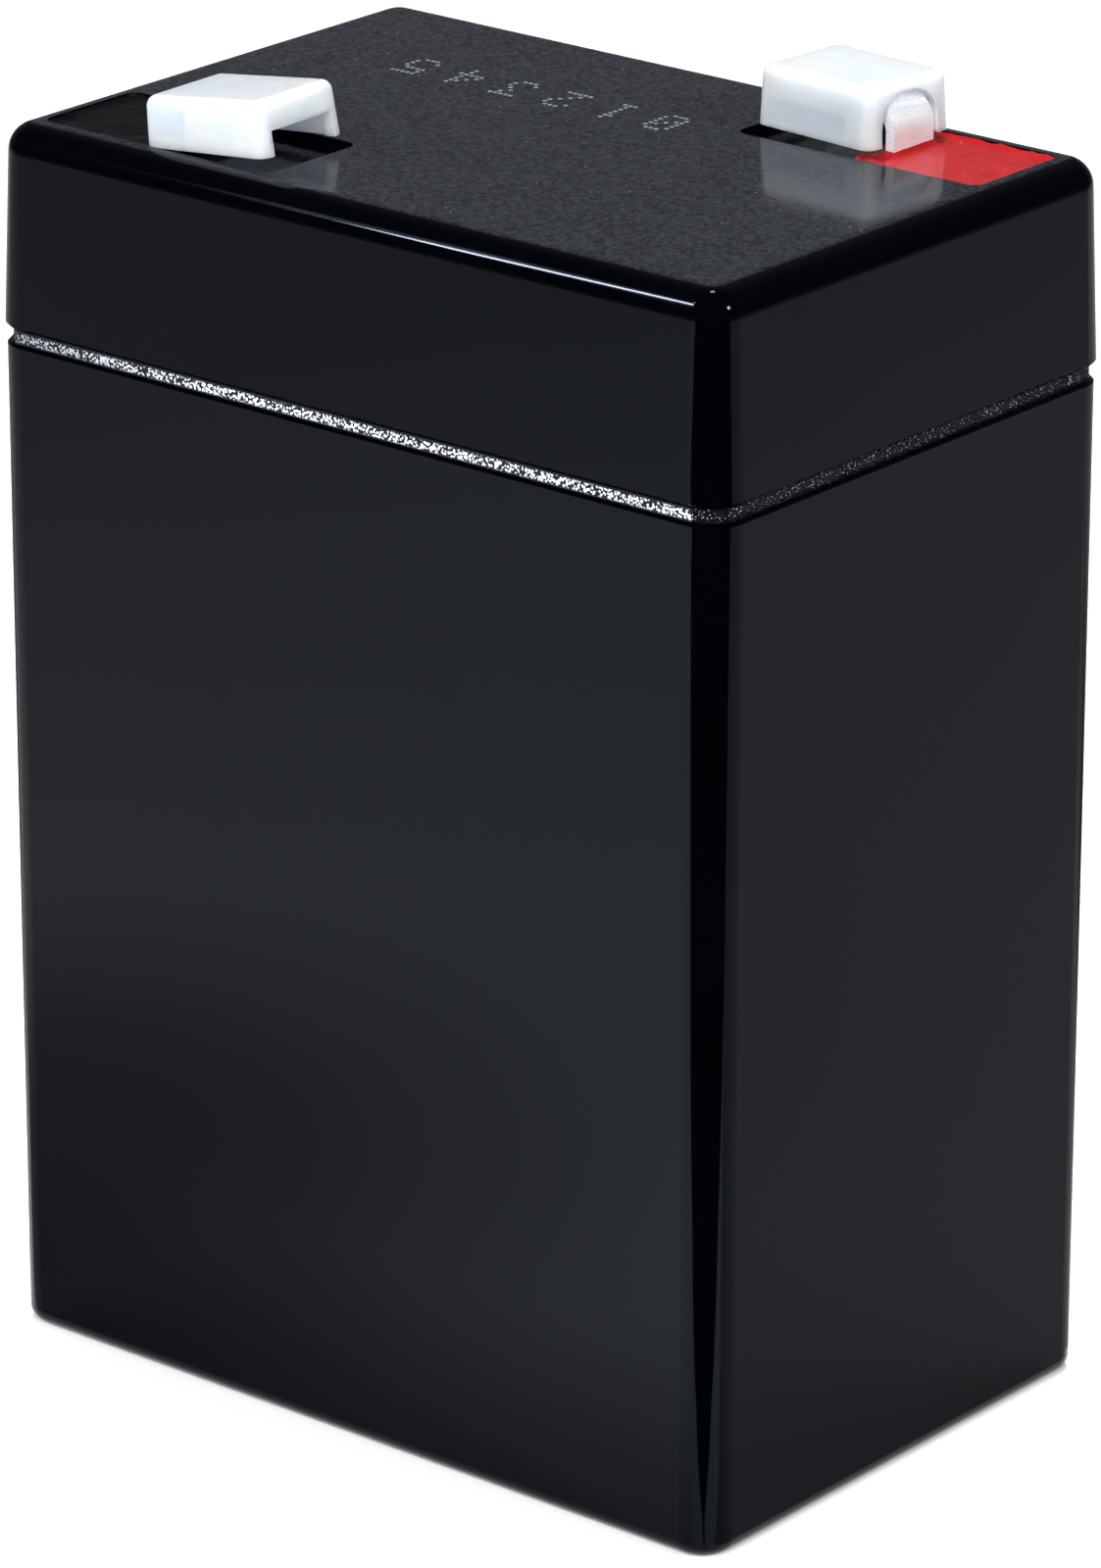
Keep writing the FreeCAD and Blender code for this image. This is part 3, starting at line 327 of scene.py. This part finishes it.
def adhesive_material(name, dark, light, low, high, band=None):
    """Rough grains that turn from dark to light where they and their clumps pass low to high.

    With a band, the pale ones keep within so many millimetres of the groove's middle, and they
    thin out towards the left end.
    """
    clump_share, band_core, left_share = 0.30, 0.6, 0.22
    look = Shader(name)
    look.set(Specular_IOR_Level=0.14)
    grains = look.math("SUBTRACT", 1.0, look.voronoi(4600))
    clumps = look.noise(700, detail=3)
    pale = look.remap(look.plus(grains, look.times(clumps, clump_share)), low, high)
    if band:
        off = look.off("Z", (SEAM_TOP + SEAM_LOW) / 2 * MM)
        pale = look.times(pale, look.remap(off, band_core * band * MM, band * MM, 1.0, 0.0))
        pale = look.times(pale, look.remap(look.axis("X"), -0.034, -0.012, left_share, 1.0))
    look.colour(look.mix(pale, dark, light))
    look.rough(look.remap(grains, 0.3, 0.7, 0.30, 0.65))
    look.bump((grains, 0.00008))
    return look.material


def dull_material(name, dark, light, scale, rough, bump):
    """Matt surface with soft clouds, so many to the metre, and finer grain on them."""
    look = Shader(name)
    cloud = look.noise(scale, detail=5, roughness=0.65)
    look.colour(look.colours(cloud, (0.3, dark), (0.7, light)))
    look.rough(look.remap(look.noise(scale * 4, detail=3), 0.3, 0.7, rough - 0.08, rough + 0.08))
    look.bump((cloud, bump), (look.noise(scale * 6, detail=3), bump / 5))
    return look.material


def dress_frame():
    """Give every node the material of its slot."""
    by_slot = {
        "case_plastic": case_material(),
        "adhesive": adhesive_material(
            "seam_dark", dark=(0.003, 0.0035, 0.005), light=(0.30, 0.32, 0.37),
            low=0.92, high=0.98),
        "seal_rubber": dull_material(
            "soft_rubber", dark=(0.010, 0.010, 0.010), light=(0.022, 0.022, 0.022),
            scale=400, rough=0.5, bump=0.00003),
        "lead": metal_material("cast_lead", base=(0.32, 0.33, 0.35), rough=0.42, streak=(1, 1, 1)),
        "glass_mat": dull_material(
            "glass_mat", dark=(0.70, 0.70, 0.67), light=(0.86, 0.86, 0.83),
            scale=900, rough=0.9, bump=0.00012),
        "positive_paste": dull_material(
            "plate_brown", dark=(0.060, 0.028, 0.018), light=(0.13, 0.065, 0.040),
            scale=600, rough=0.85, bump=0.0001),
        "negative_paste": dull_material(
            "plate_grey", dark=(0.14, 0.145, 0.15), light=(0.26, 0.265, 0.275),
            scale=600, rough=0.7, bump=0.0001),
        "tinned_tab": metal_material(
            "tinned_tab", base=(0.92, 0.94, 0.97), rough=0.28, streak=(1, 1, 60), metallic=0.45),
        "red_resin": resin_material(
            "resin_red", deep=(0.22, 0.005, 0.007), light=(0.29, 0.010, 0.012),
            dust_share=0.35, level=0.22),
        "black_resin": resin_material(
            "resin_black", deep=(0.001, 0.001, 0.0015), light=(0.003, 0.003, 0.004),
            dust_share=0.01, level=0.45, ior=1.10),
        "cap_plastic": cap_material(),
    }
    for part in frame["record"]["subparts"]:
        dress(part["node"], by_slot[part["material_slot"]])
    return by_slot


def new_piece(name, mesh, material):
    """Object of the battery that rides on its only body."""
    mesh.materials.clear()
    mesh.materials.append(material)
    piece = bpy.data.objects.new(name, mesh)
    scene.collection.objects.link(piece)
    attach(piece, ROOT)
    return piece


def smooth_by_angle(mesh, degrees=38.0):
    """Smooth shading that keeps the sharper edges."""
    work = bmesh.new()
    work.from_mesh(mesh)
    for face in work.faces:
        face.smooth = True
    for edge in work.edges:
        edge.smooth = len(edge.link_faces) == 2 and edge.calc_face_angle() < math.radians(degrees)
    work.to_mesh(mesh)
    work.free()


def with_weighted_normals(mesh):
    """The mesh with normals that keep its flat faces flat."""
    base = bpy.data.objects.new("weighted", mesh)
    scene.collection.objects.link(base)
    weighted = base.modifiers.new("weighted", "WEIGHTED_NORMAL")
    weighted.keep_sharp = True
    graph = bpy.context.evaluated_depsgraph_get()
    result = bpy.data.meshes.new_from_object(
        base.evaluated_get(graph), preserve_all_data_layers=True, depsgraph=graph)
    bpy.data.objects.remove(base)
    return result


def block_mesh(low, high, upright_radius=0.0, top_radius=0.0, draft=0.0):
    """Box in millimetres with round upright edges, a round top and walls that lean in by draft."""
    upright_steps, top_steps, tiny = 6, 7, 1e-6
    work = bmesh.new()
    bmesh.ops.create_cube(work, size=1.0)
    low, high = Vector(low), Vector(high)
    for vert in work.verts:
        vert.co = Vector(low[i] + (vert.co[i] + 0.5) * (high[i] - low[i]) for i in range(3))
    if upright_radius:
        upright = [edge for edge in work.edges
                   if abs(edge.verts[0].co.z - edge.verts[1].co.z) > tiny]
        bmesh.ops.bevel(work, geom=upright, offset=upright_radius, segments=upright_steps,
                        profile=0.5, affect="EDGES")
    if top_radius:
        rim = [edge for edge in work.edges
               if all(abs(vert.co.z - high.z) < tiny for vert in edge.verts)
               and len(edge.link_faces) == 2
               and any(abs(face.normal.z) < 0.5 for face in edge.link_faces)]
        bmesh.ops.bevel(work, geom=rim, offset=top_radius, segments=top_steps,
                        profile=0.5, affect="EDGES")
    centre = (low + high) / 2
    for vert in work.verts:
        share = draft * (vert.co.z - low.z) / (high.z - low.z)
        for i in (0, 1):
            half = (high[i] - low[i]) / 2
            vert.co[i] = centre[i] + (vert.co[i] - centre[i]) * (half - share) / half
    mesh = bpy.data.meshes.new("block")
    work.to_mesh(mesh)
    work.free()
    return mesh


def carve(mesh, cutters):
    """The mesh with other meshes cut from it and its sharp edges softened."""
    base = bpy.data.objects.new("carved", mesh)
    scene.collection.objects.link(base)
    helpers = []
    for cutter in cutters:
        helper = bpy.data.objects.new("cutter", cutter)
        scene.collection.objects.link(helper)
        helpers.append(helper)
        cut = base.modifiers.new("cut", "BOOLEAN")
        cut.operation = "DIFFERENCE"
        cut.solver = "EXACT"
        cut.object = helper
    soften = base.modifiers.new("soften", "BEVEL")
    soften.width = 0.09
    soften.segments = 2
    soften.limit_method = "ANGLE"
    soften.angle_limit = math.radians(50)
    graph = bpy.context.evaluated_depsgraph_get()
    result = bpy.data.meshes.new_from_object(base.evaluated_get(graph), depsgraph=graph)
    for item in (base, *helpers):
        bpy.data.objects.remove(item)
    return result


def cap_mesh(back, front, height, foot, dip):
    """Open cap with an arch at its +X end and a slot at the other, in millimetres."""
    half, side, roof = 4.6, 0.85, 0.65
    below_foot = 1.0
    arch_half, arch_radius, arch_reach, arch_down, arch_gap = 3.1, 2.7, 2.0, 8.0, 0.1
    slot_half, slot_reach, slot_top = 3.35, 2.0, 1.7
    under_x, under_y, under_z = 20, 10, 6
    outer = block_mesh((back, -half, -below_foot), (front, half, height),
                       upright_radius=0.95, top_radius=0.80, draft=0.22)
    inner = block_mesh((back + side, side - half, -2 * below_foot),
                       (front - side, half - side, height - roof),
                       upright_radius=0.55, top_radius=0.45, draft=0.12)
    arch = block_mesh((-arch_half, -arch_down, -arch_reach), (arch_half, arch_down, arch_reach),
                      upright_radius=arch_radius)
    arch_place = Matrix.Translation((front, 0, height - roof - arch_gap - arch_down))
    arch_turn = Matrix.Rotation(math.radians(90), 4, "Z") @ Matrix.Rotation(math.radians(90), 4, "X")
    arch.transform(arch_place @ arch_turn)
    slot = block_mesh((back - slot_reach, -slot_half, -3 * below_foot),
                      (back + slot_reach, slot_half, slot_top))
    under = block_mesh((-under_x, -under_y, -under_z), (under_x, under_y, 0))
    slope = Matrix.Rotation(math.atan(dip / (front - back)), 4, "Y").inverted()
    under.transform(Matrix.Translation((front, 0, foot)) @ slope)
    return carve(outer, (inner, arch, slot, under))


def build_cap(sign, material, centre, yaw, pitch, **sizes):
    """A push-on cap with round edges and thin walls, in place of the plain one."""
    mesh = cap_mesh(**sizes)
    turn = Matrix.Rotation(math.radians(yaw), 4, "Z") @ Matrix.Rotation(math.radians(pitch), 4, "Y")
    mesh.transform(Matrix.Scale(MM, 4) @ Matrix.Translation(centre) @ turn)
    smooth_by_angle(mesh)
    piece = new_piece(f"{sign}_cap_moulding", with_weighted_normals(mesh), material)
    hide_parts(f"{sign}_terminal_cap")


def height_field(name, columns, rows, point, back, material):
    """Closed slab: a grid of points in front, their places on a plane behind."""
    work = bmesh.new()
    front_verts, back_verts = [], []
    for i in range(columns + 1):
        front_verts.append([work.verts.new(point(i, j)) for j in range(rows + 1)])
        back_verts.append([work.verts.new(back(i, j)) for j in range(rows + 1)])
    for grid, flip in ((front_verts, False), (back_verts, True)):
        for i in range(columns):
            for j in range(rows):
                ring = (grid[i][j], grid[i + 1][j], grid[i + 1][j + 1], grid[i][j + 1])
                work.faces.new(ring[::-1] if flip else ring)
    rim = [(i, 0) for i in range(columns)] + [(columns, j) for j in range(rows)]
    rim += [(i, rows) for i in range(columns, 0, -1)] + [(0, j) for j in range(rows, 0, -1)]
    for (i, j), (k, m) in zip(rim, rim[1:] + rim[:1]):
        work.faces.new((front_verts[i][j], back_verts[i][j], back_verts[k][m], front_verts[k][m]))
    bmesh.ops.recalc_face_normals(work, faces=work.faces[:])
    for face in work.faces:
        face.smooth = True
    mesh = bpy.data.meshes.new(name)
    work.to_mesh(mesh)
    work.free()
    new_piece(name, mesh, material)


def build_resin_surface(sign, side, stem_shift, material):
    """Skin of a filled well, drawn up along its walls and round the tab, in millimetres."""
    step, lift, sunk = 0.12, 0.02, 0.1
    wall_rise, wall_ripple, wall_fall = 0.16, 0.20, 0.40
    stem_rise, stem_fall = 0.55, 0.42
    ripple_scale, ripple_height = 0.9, 0.03
    columns = round((WELL_X[1] - WELL_X[0]) / step)
    rows = round((WELL_Y[1] - WELL_Y[0]) / step)
    centre = Vector(((WELL_X[0] + WELL_X[1]) / 2, (WELL_Y[0] + WELL_Y[1]) / 2))
    half = Vector(((WELL_X[1] - WELL_X[0]) / 2, (WELL_Y[1] - WELL_Y[0]) / 2))

    def into_corner(inward):
        """How far a place is past the straight walls, towards the round corner."""
        return [max(abs(inward[k]) - half[k] + WELL_CORNER, 0.0) for k in (0, 1)]

    def place(i, j):
        """Place of a point of the grid, drawn in to the round corners."""
        x = WELL_X[0] + (WELL_X[1] - WELL_X[0]) * i / columns
        y = WELL_Y[0] + (WELL_Y[1] - WELL_Y[0]) * j / rows
        inward = Vector((x, y)) - centre
        past = into_corner(inward)
        reach = math.hypot(*past)
        if reach > WELL_CORNER:
            for k in (0, 1):
                limit = half[k] - WELL_CORNER + past[k] * WELL_CORNER / reach
                inward[k] = math.copysign(min(abs(inward[k]), limit), inward[k])
        return centre + inward

    def level(spot):
        """Height of the resin, higher near the walls and the tab's stem."""
        inward = spot - centre
        past = into_corner(inward)
        to_wall = WELL_CORNER - math.hypot(*past)
        if not any(past):
            to_wall = min(half[k] - abs(inward[k]) for k in (0, 1))
        gap_x = max(STEM_X[0] - spot.x, spot.x - STEM_X[1], 0.0)
        gap_y = max(STEM_Y[0] + stem_shift - spot.y, spot.y - STEM_Y[1] - stem_shift, 0.0)
        to_stem = math.hypot(gap_x, gap_y)
        spread = Vector((spot.x * ripple_scale, spot.y * ripple_scale, side))
        ripple = 0.5 + 0.5 * noise.noise(spread)
        rise = (wall_rise + wall_ripple * ripple) * math.exp(-max(to_wall, 0.0) / wall_fall)
        rise += stem_rise * math.exp(-to_stem / stem_fall)
        return RESIN_LEVEL + lift + rise + ripple_height * ripple

    def point(i, j):
        spot = place(i, j)
        return Vector((side * spot.x, side * spot.y, level(spot))) * MM

    def back(i, j):
        spot = place(i, j)
        return Vector((side * spot.x, side * spot.y, RESIN_LEVEL - sunk)) * MM

    height_field(f"{sign}_resin_surface", columns, rows, point, back, material)


def build_seam_bead(name, material, quarter, length, depth, step, reach):
    """Rough adhesive in the open groove of one wall, in millimetres."""
    margin, sunk, taper, fewest_rows = 0.02, 0.10, 1.5, 6
    grain_scale, grain_layer = 7.0, 9.0
    lump_scale_x, lump_scale_z, lump_layer = 1.3, 1.6, 4.0
    mean_share, grain_share, lump_share = 0.62, 0.30, 0.26
    columns = round(length / step)
    rows = max(round((SEAM_TOP - SEAM_LOW) / step), fewest_rows)
    turn = Matrix.Rotation(math.radians(90 * quarter), 4, "Z")

    def spot(i, j):
        x = (i / columns - 0.5) * length
        return x, SEAM_LOW + margin + (SEAM_TOP - SEAM_LOW - 2 * margin) * j / rows

    def point(i, j):
        x, z = spot(i, j)
        grain = noise.noise(Vector((x * grain_scale, z * grain_scale, quarter * grain_layer)))
        lump = noise.noise(Vector((x * lump_scale_x, z * lump_scale_z, lump_layer + quarter)))
        edge = min(j, rows - j) / rows * 2
        bulge = math.sqrt(max(1 - (1 - edge) ** 2, 0.0))
        end = min(min(i, columns - i) * step / taper, 1.0)
        rise = reach * bulge * end * (mean_share + grain_share * grain + lump_share * lump)
        return turn @ Vector((x, -depth - max(rise, 0.0), z)) * MM

    def back(i, j):
        x, z = spot(i, j)
        return turn @ Vector((x, sunk - depth, z)) * MM

    height_field(name, columns, rows, point, back, material)


def build_marking(material):
    """Faint row of plain dot-matrix digits on the top, read from the back, in millimetres."""
    column_pitch, row_pitch, dot_radius, jitter = 0.50, 0.60, 0.20, 0.06
    left, front, digit_pitch = 5.2, 7.0, 4.86
    lift, thickness = 0.002, 0.012
    work = bmesh.new()
    noise.seed_set(5)
    for place, digit in enumerate("012345"):
        for row, bits in enumerate(DIGITS[digit]):
            for column in range(DIGIT_COLUMNS):
                if not bits >> (DIGIT_COLUMNS - 1 - column) & 1:
                    continue
                spread = noise.random() * jitter
                x = left - place * digit_pitch - column * column_pitch + spread
                y = front + row * row_pitch - spread
                dot = bmesh.ops.create_circle(
                    work, cap_ends=True, segments=8, radius=dot_radius * MM)
                face = dot["verts"][0].link_faces[0]
                bmesh.ops.translate(work, verts=dot["verts"], vec=Vector((x, y, TOP + lift)) * MM)
                up = bmesh.ops.extrude_face_region(work, geom=[face])["geom"]
                rise = [item for item in up if isinstance(item, bmesh.types.BMVert)]
                bmesh.ops.translate(work, verts=rise, vec=(0, 0, thickness * MM))
    bmesh.ops.recalc_face_normals(work, faces=work.faces[:])
    mesh = bpy.data.meshes.new("top_marking")
    work.to_mesh(mesh)
    work.free()
    new_piece("top_marking", mesh, material)


def build_details(by_slot):
    """Pieces that the plain solids leave out."""
    for sign, cap in CAPS.items():
        build_cap(sign, by_slot["cap_plastic"], **cap)
    build_resin_surface("positive", side=1, stem_shift=0.0,
                        material=by_slot["red_resin"])
    build_resin_surface("negative", side=-1, stem_shift=0.4,
                        material=by_slot["black_resin"])
    pale = adhesive_material(
        "seam_pale", dark=(0.008, 0.009, 0.012), light=(0.74, 0.79, 0.88),
        low=0.64, high=0.72, band=0.42)
    for wall, bead in BEADS.items():
        adhesive = pale if wall == "front" else by_slot["adhesive"]
        build_seam_bead(f"seam_bead_{wall}", adhesive, **bead)
    ink = dull_material("pale_ink", dark=(0.075, 0.08, 0.09), light=(0.17, 0.18, 0.20),
                        scale=3000, rough=0.6, bump=0.000005)
    build_marking(ink)


def make_camera():
    """Camera of the photograph, from its fitted place, in degrees, metres and millimetres of lens."""
    azimuth, elevation, roll = (math.radians(angle) for angle in (39.593, 20.670, 0.072))
    distance, lens, aside, rise = 0.621515, 187.275, 0.000308, 0.046414
    back = Vector((math.sin(azimuth) * math.cos(elevation),
                   -math.cos(azimuth) * math.cos(elevation), math.sin(elevation)))
    right = Vector((math.cos(azimuth), math.sin(azimuth), 0.0))
    up = back.cross(right)
    turned_right = math.cos(roll) * right + math.sin(roll) * up
    turned_up = math.cos(roll) * up - math.sin(roll) * right
    place = right * aside + Vector((0, 0, rise)) + back * distance
    data = bpy.data.cameras.new("studio_camera")
    data.sensor_width = 36.0
    data.sensor_fit = "AUTO"
    data.lens = lens
    data.clip_start = 0.01
    data.clip_end = 20.0
    camera = bpy.data.objects.new("studio_camera", data)
    basis = Matrix((turned_right, turned_up, back)).transposed().to_4x4()
    camera.matrix_world = Matrix.Translation(place) @ basis
    scene.collection.objects.link(camera)
    scene.camera = camera


def make_world():
    """Dim room, brighter on the side that is behind the battery in the photograph."""
    behind = (-0.637, 0.771, 0.0)
    stops = ((0.0, 0.03), (0.35, 0.05), (0.62, 0.12), (1.0, 0.15))
    green_share, blue_share = 1.02, 1.06
    world = bpy.data.worlds.new("studio_world")
    scene.world = world
    world.use_nodes = True
    tree = world.node_tree
    tree.nodes.clear()
    direction = tree.nodes.new("ShaderNodeTexCoord")
    along = tree.nodes.new("ShaderNodeVectorMath")
    along.operation = "DOT_PRODUCT"
    along.inputs[1].default_value = behind
    ramp = tree.nodes.new("ShaderNodeValToRGB")
    light = tree.nodes.new("ShaderNodeBackground")
    output = tree.nodes.new("ShaderNodeOutputWorld")
    tree.links.new(direction.outputs["Generated"], along.inputs[0])
    tree.links.new(along.outputs["Value"], ramp.inputs["Fac"])
    while len(ramp.color_ramp.elements) < len(stops):
        ramp.color_ramp.elements.new(0.5)
    for element, (place, grey) in zip(ramp.color_ramp.elements, stops):
        element.position = place
        element.color = (grey, grey * green_share, grey * blue_share, 1)
    tree.links.new(ramp.outputs["Color"], light.inputs["Color"])
    tree.links.new(light.outputs[0], output.inputs["Surface"])


def make_floor():
    """Pale floor, a hair under the battery, in metres."""
    half, level = 3, -2e-5
    mesh = bpy.data.meshes.new("studio_floor")
    mesh.from_pydata([(-half, -half, level), (half, -half, level), (half, half, level),
                      (-half, half, level)], [], [(0, 1, 2, 3)])
    floor = bpy.data.objects.new("studio_floor", mesh)
    scene.collection.objects.link(floor)
    look = Shader("pale_floor")
    look.set(Specular_IOR_Level=0.0)
    look.colour(look.mix(look.noise(3, detail=2), (0.86, 0.87, 0.885), (0.88, 0.89, 0.905)))
    look.rough(look.remap(look.noise(20, detail=2), 0.3, 0.7, 0.8, 0.9))
    mesh.materials.append(look.material)


def make_card(name, outline, level, paint):
    """Card flat over the floor, in millimetres, that only reflections see."""
    mesh = bpy.data.meshes.new(name)
    mesh.from_pydata([(x * MM, y * MM, level * MM) for x, y in outline], [],
                     [tuple(range(len(outline)))])
    card = bpy.data.objects.new(name, mesh)
    scene.collection.objects.link(card)
    look = Shader(name)
    look.set(Specular_IOR_Level=0.0)
    look.colour(paint(look))
    mesh.materials.append(look.material)
    for ray in ("camera", "diffuse", "transmission", "shadow", "volume_scatter"):
        setattr(card, f"visible_{ray}", False)


def black(look):
    """Black with hardly a cloud in it."""
    return look.mix(look.noise(30, detail=2), BLACK, (0.002, 0.002, 0.002))


def grey(look):
    """Middle grey with faint clouds."""
    return look.mix(look.noise(8, detail=2), (0.34, 0.35, 0.36), (0.40, 0.41, 0.42))


def distance(look, x, y):
    """Length of the two sides together."""
    return look.math("SQRT", look.plus(look.times(x, x), look.times(y, y)))


def pale_with_painted_shadow(look):
    """Pale, with painted shade: darker to the left, and a painted contact shadow round a spot near
    the left end and along the wall's foot.
    """
    shadow_x, shadow_y = -0.060, -0.045
    x, y = look.axis("X"), look.axis("Y")
    # Painted shade: darker to the left, and a painted contact shadow of the battery round the spot
    # and along the wall's foot.
    to_shadow = distance(look, look.plus(x, -shadow_x), look.plus(y, -shadow_y))
    light = look.times(look.remap(x, -0.22, 0.02, 0.46, 1.0),
                       look.remap(to_shadow, 0.01, 0.068, 0.40, 1.0, smooth=True))
    light = look.times(light, look.remap(y, -0.050, -0.024, 1.0, 0.6))
    return look.mix(light, BLACK, PALE)


def painted_shadow_near(look):
    """Painted contact shadow: black beside the battery, lighter far off and towards the other two
    walls' cards.
    """
    right_x, right_y = 0.89, 0.455
    x, y = look.axis("X"), look.axis("Y")
    to_right = look.math("SUBTRACT", look.times(x, right_x), look.times(y, right_y))
    # Painted contact shadow: black beside the battery, fading lighter with distance from it.
    light = look.math("MAXIMUM",
                      look.remap(distance(look, x, y), 0.10, 0.42, 0.0, 0.6, smooth=True),
                      look.remap(to_right, -0.05, 0.021, 0.0, 0.37, smooth=True))
    light = look.math("MAXIMUM", light, look.remap(y, -0.020, 0.03, 0.5, 0.0, smooth=True))
    return look.mix(light, BLACK, WHITE)


def make_cards():
    """Cards that the glossy walls show: a black flag before the near edge, greys at the walls, with
    painted shadow on the front and back cards.
    """
    near_x, near_y, wall_x, wall_y, far = 34.0, -22.5, 35.5, 24.2, 1500
    corner = Vector((near_x, near_y))
    facing = math.radians(39.6 - 90.0)
    # The flag's half angle in degrees at each distance from the near edge in millimetres.
    rims = ((6, 4), (12, 13), (26, 24), (60, 40), (120, 52), (260, 58), (2500, 60))
    flag = [corner]
    for turn, ring in ((-1, rims), (1, rims[::-1])):
        for radius, half in ring:
            angle = facing + turn * math.radians(half)
            flag.append(corner + radius * Vector((math.cos(angle), math.sin(angle))))
    behind = ((-far, -20), (-35.6, -20), (-35.6, wall_y), (36, wall_y), (790, far), (-far, far))
    right = ((wall_x, near_y), (far, near_y), (far, far), (wall_x, far))
    front = ((-far, -far), (near_x, -far), (near_x, -wall_y), (-far, -wall_y))
    make_card("studio_flag", flag, level=0.5, paint=black)
    make_card("studio_back_card", behind, level=0.6, paint=painted_shadow_near)
    make_card("studio_right_card", right, level=0.4, paint=grey)
    make_card("studio_front_card", front, level=0.3, paint=pale_with_painted_shadow)


def area_light(name, place, aim, size, power, in_gloss=True, colour=(1, 1, 1)):
    """Rectangular light, in metres and watts, that reflections show or not."""
    data = bpy.data.lights.new(name, "AREA")
    data.shape = "RECTANGLE"
    data.size, data.size_y = size
    data.energy = power
    data.color = colour
    light = bpy.data.objects.new(name, data)
    light.location = place
    light.rotation_euler = (Vector(aim) - Vector(place)).to_track_quat("-Z", "Y").to_euler()
    light.visible_glossy = in_gloss
    scene.collection.objects.link(light)


def make_lights():
    """Soft light from above and in front, and small lights for the glints on the edges."""
    near_corner = (0.032, -0.0235, 0.0965)
    area_light("top_light", place=(-0.10, 0.14, 0.80), aim=(0, 0, 0.02),
               size=(0.42, 0.42), power=7.2, in_gloss=False)
    area_light("edge_light", place=(-0.330, -0.393, 0.405), aim=near_corner,
               size=(0.015, 0.20), power=1.25)
    area_light("edge_glow", place=(-0.361, -0.393, 0.405), aim=near_corner,
               size=(0.050, 0.12), power=0.05, colour=(0.75, 0.86, 1.0))
    area_light("corner_light", place=(0.541, 0.091, 0.396), aim=near_corner,
               size=(0.090, 0.090), power=2.0)
    area_light("top_spark", place=(-0.10, 0.14, 0.79), aim=near_corner,
               size=(0.11, 0.11), power=1.0)
    area_light("fill_light", place=(0.30, -0.60, 0.50), aim=(0, 0, 0.05),
               size=(0.70, 0.70), power=11.0, in_gloss=False)


scene.view_settings.view_transform = "Standard"
materials = dress_frame()
build_details(materials)
make_camera()
make_world()
make_floor()
make_cards()
make_lights()
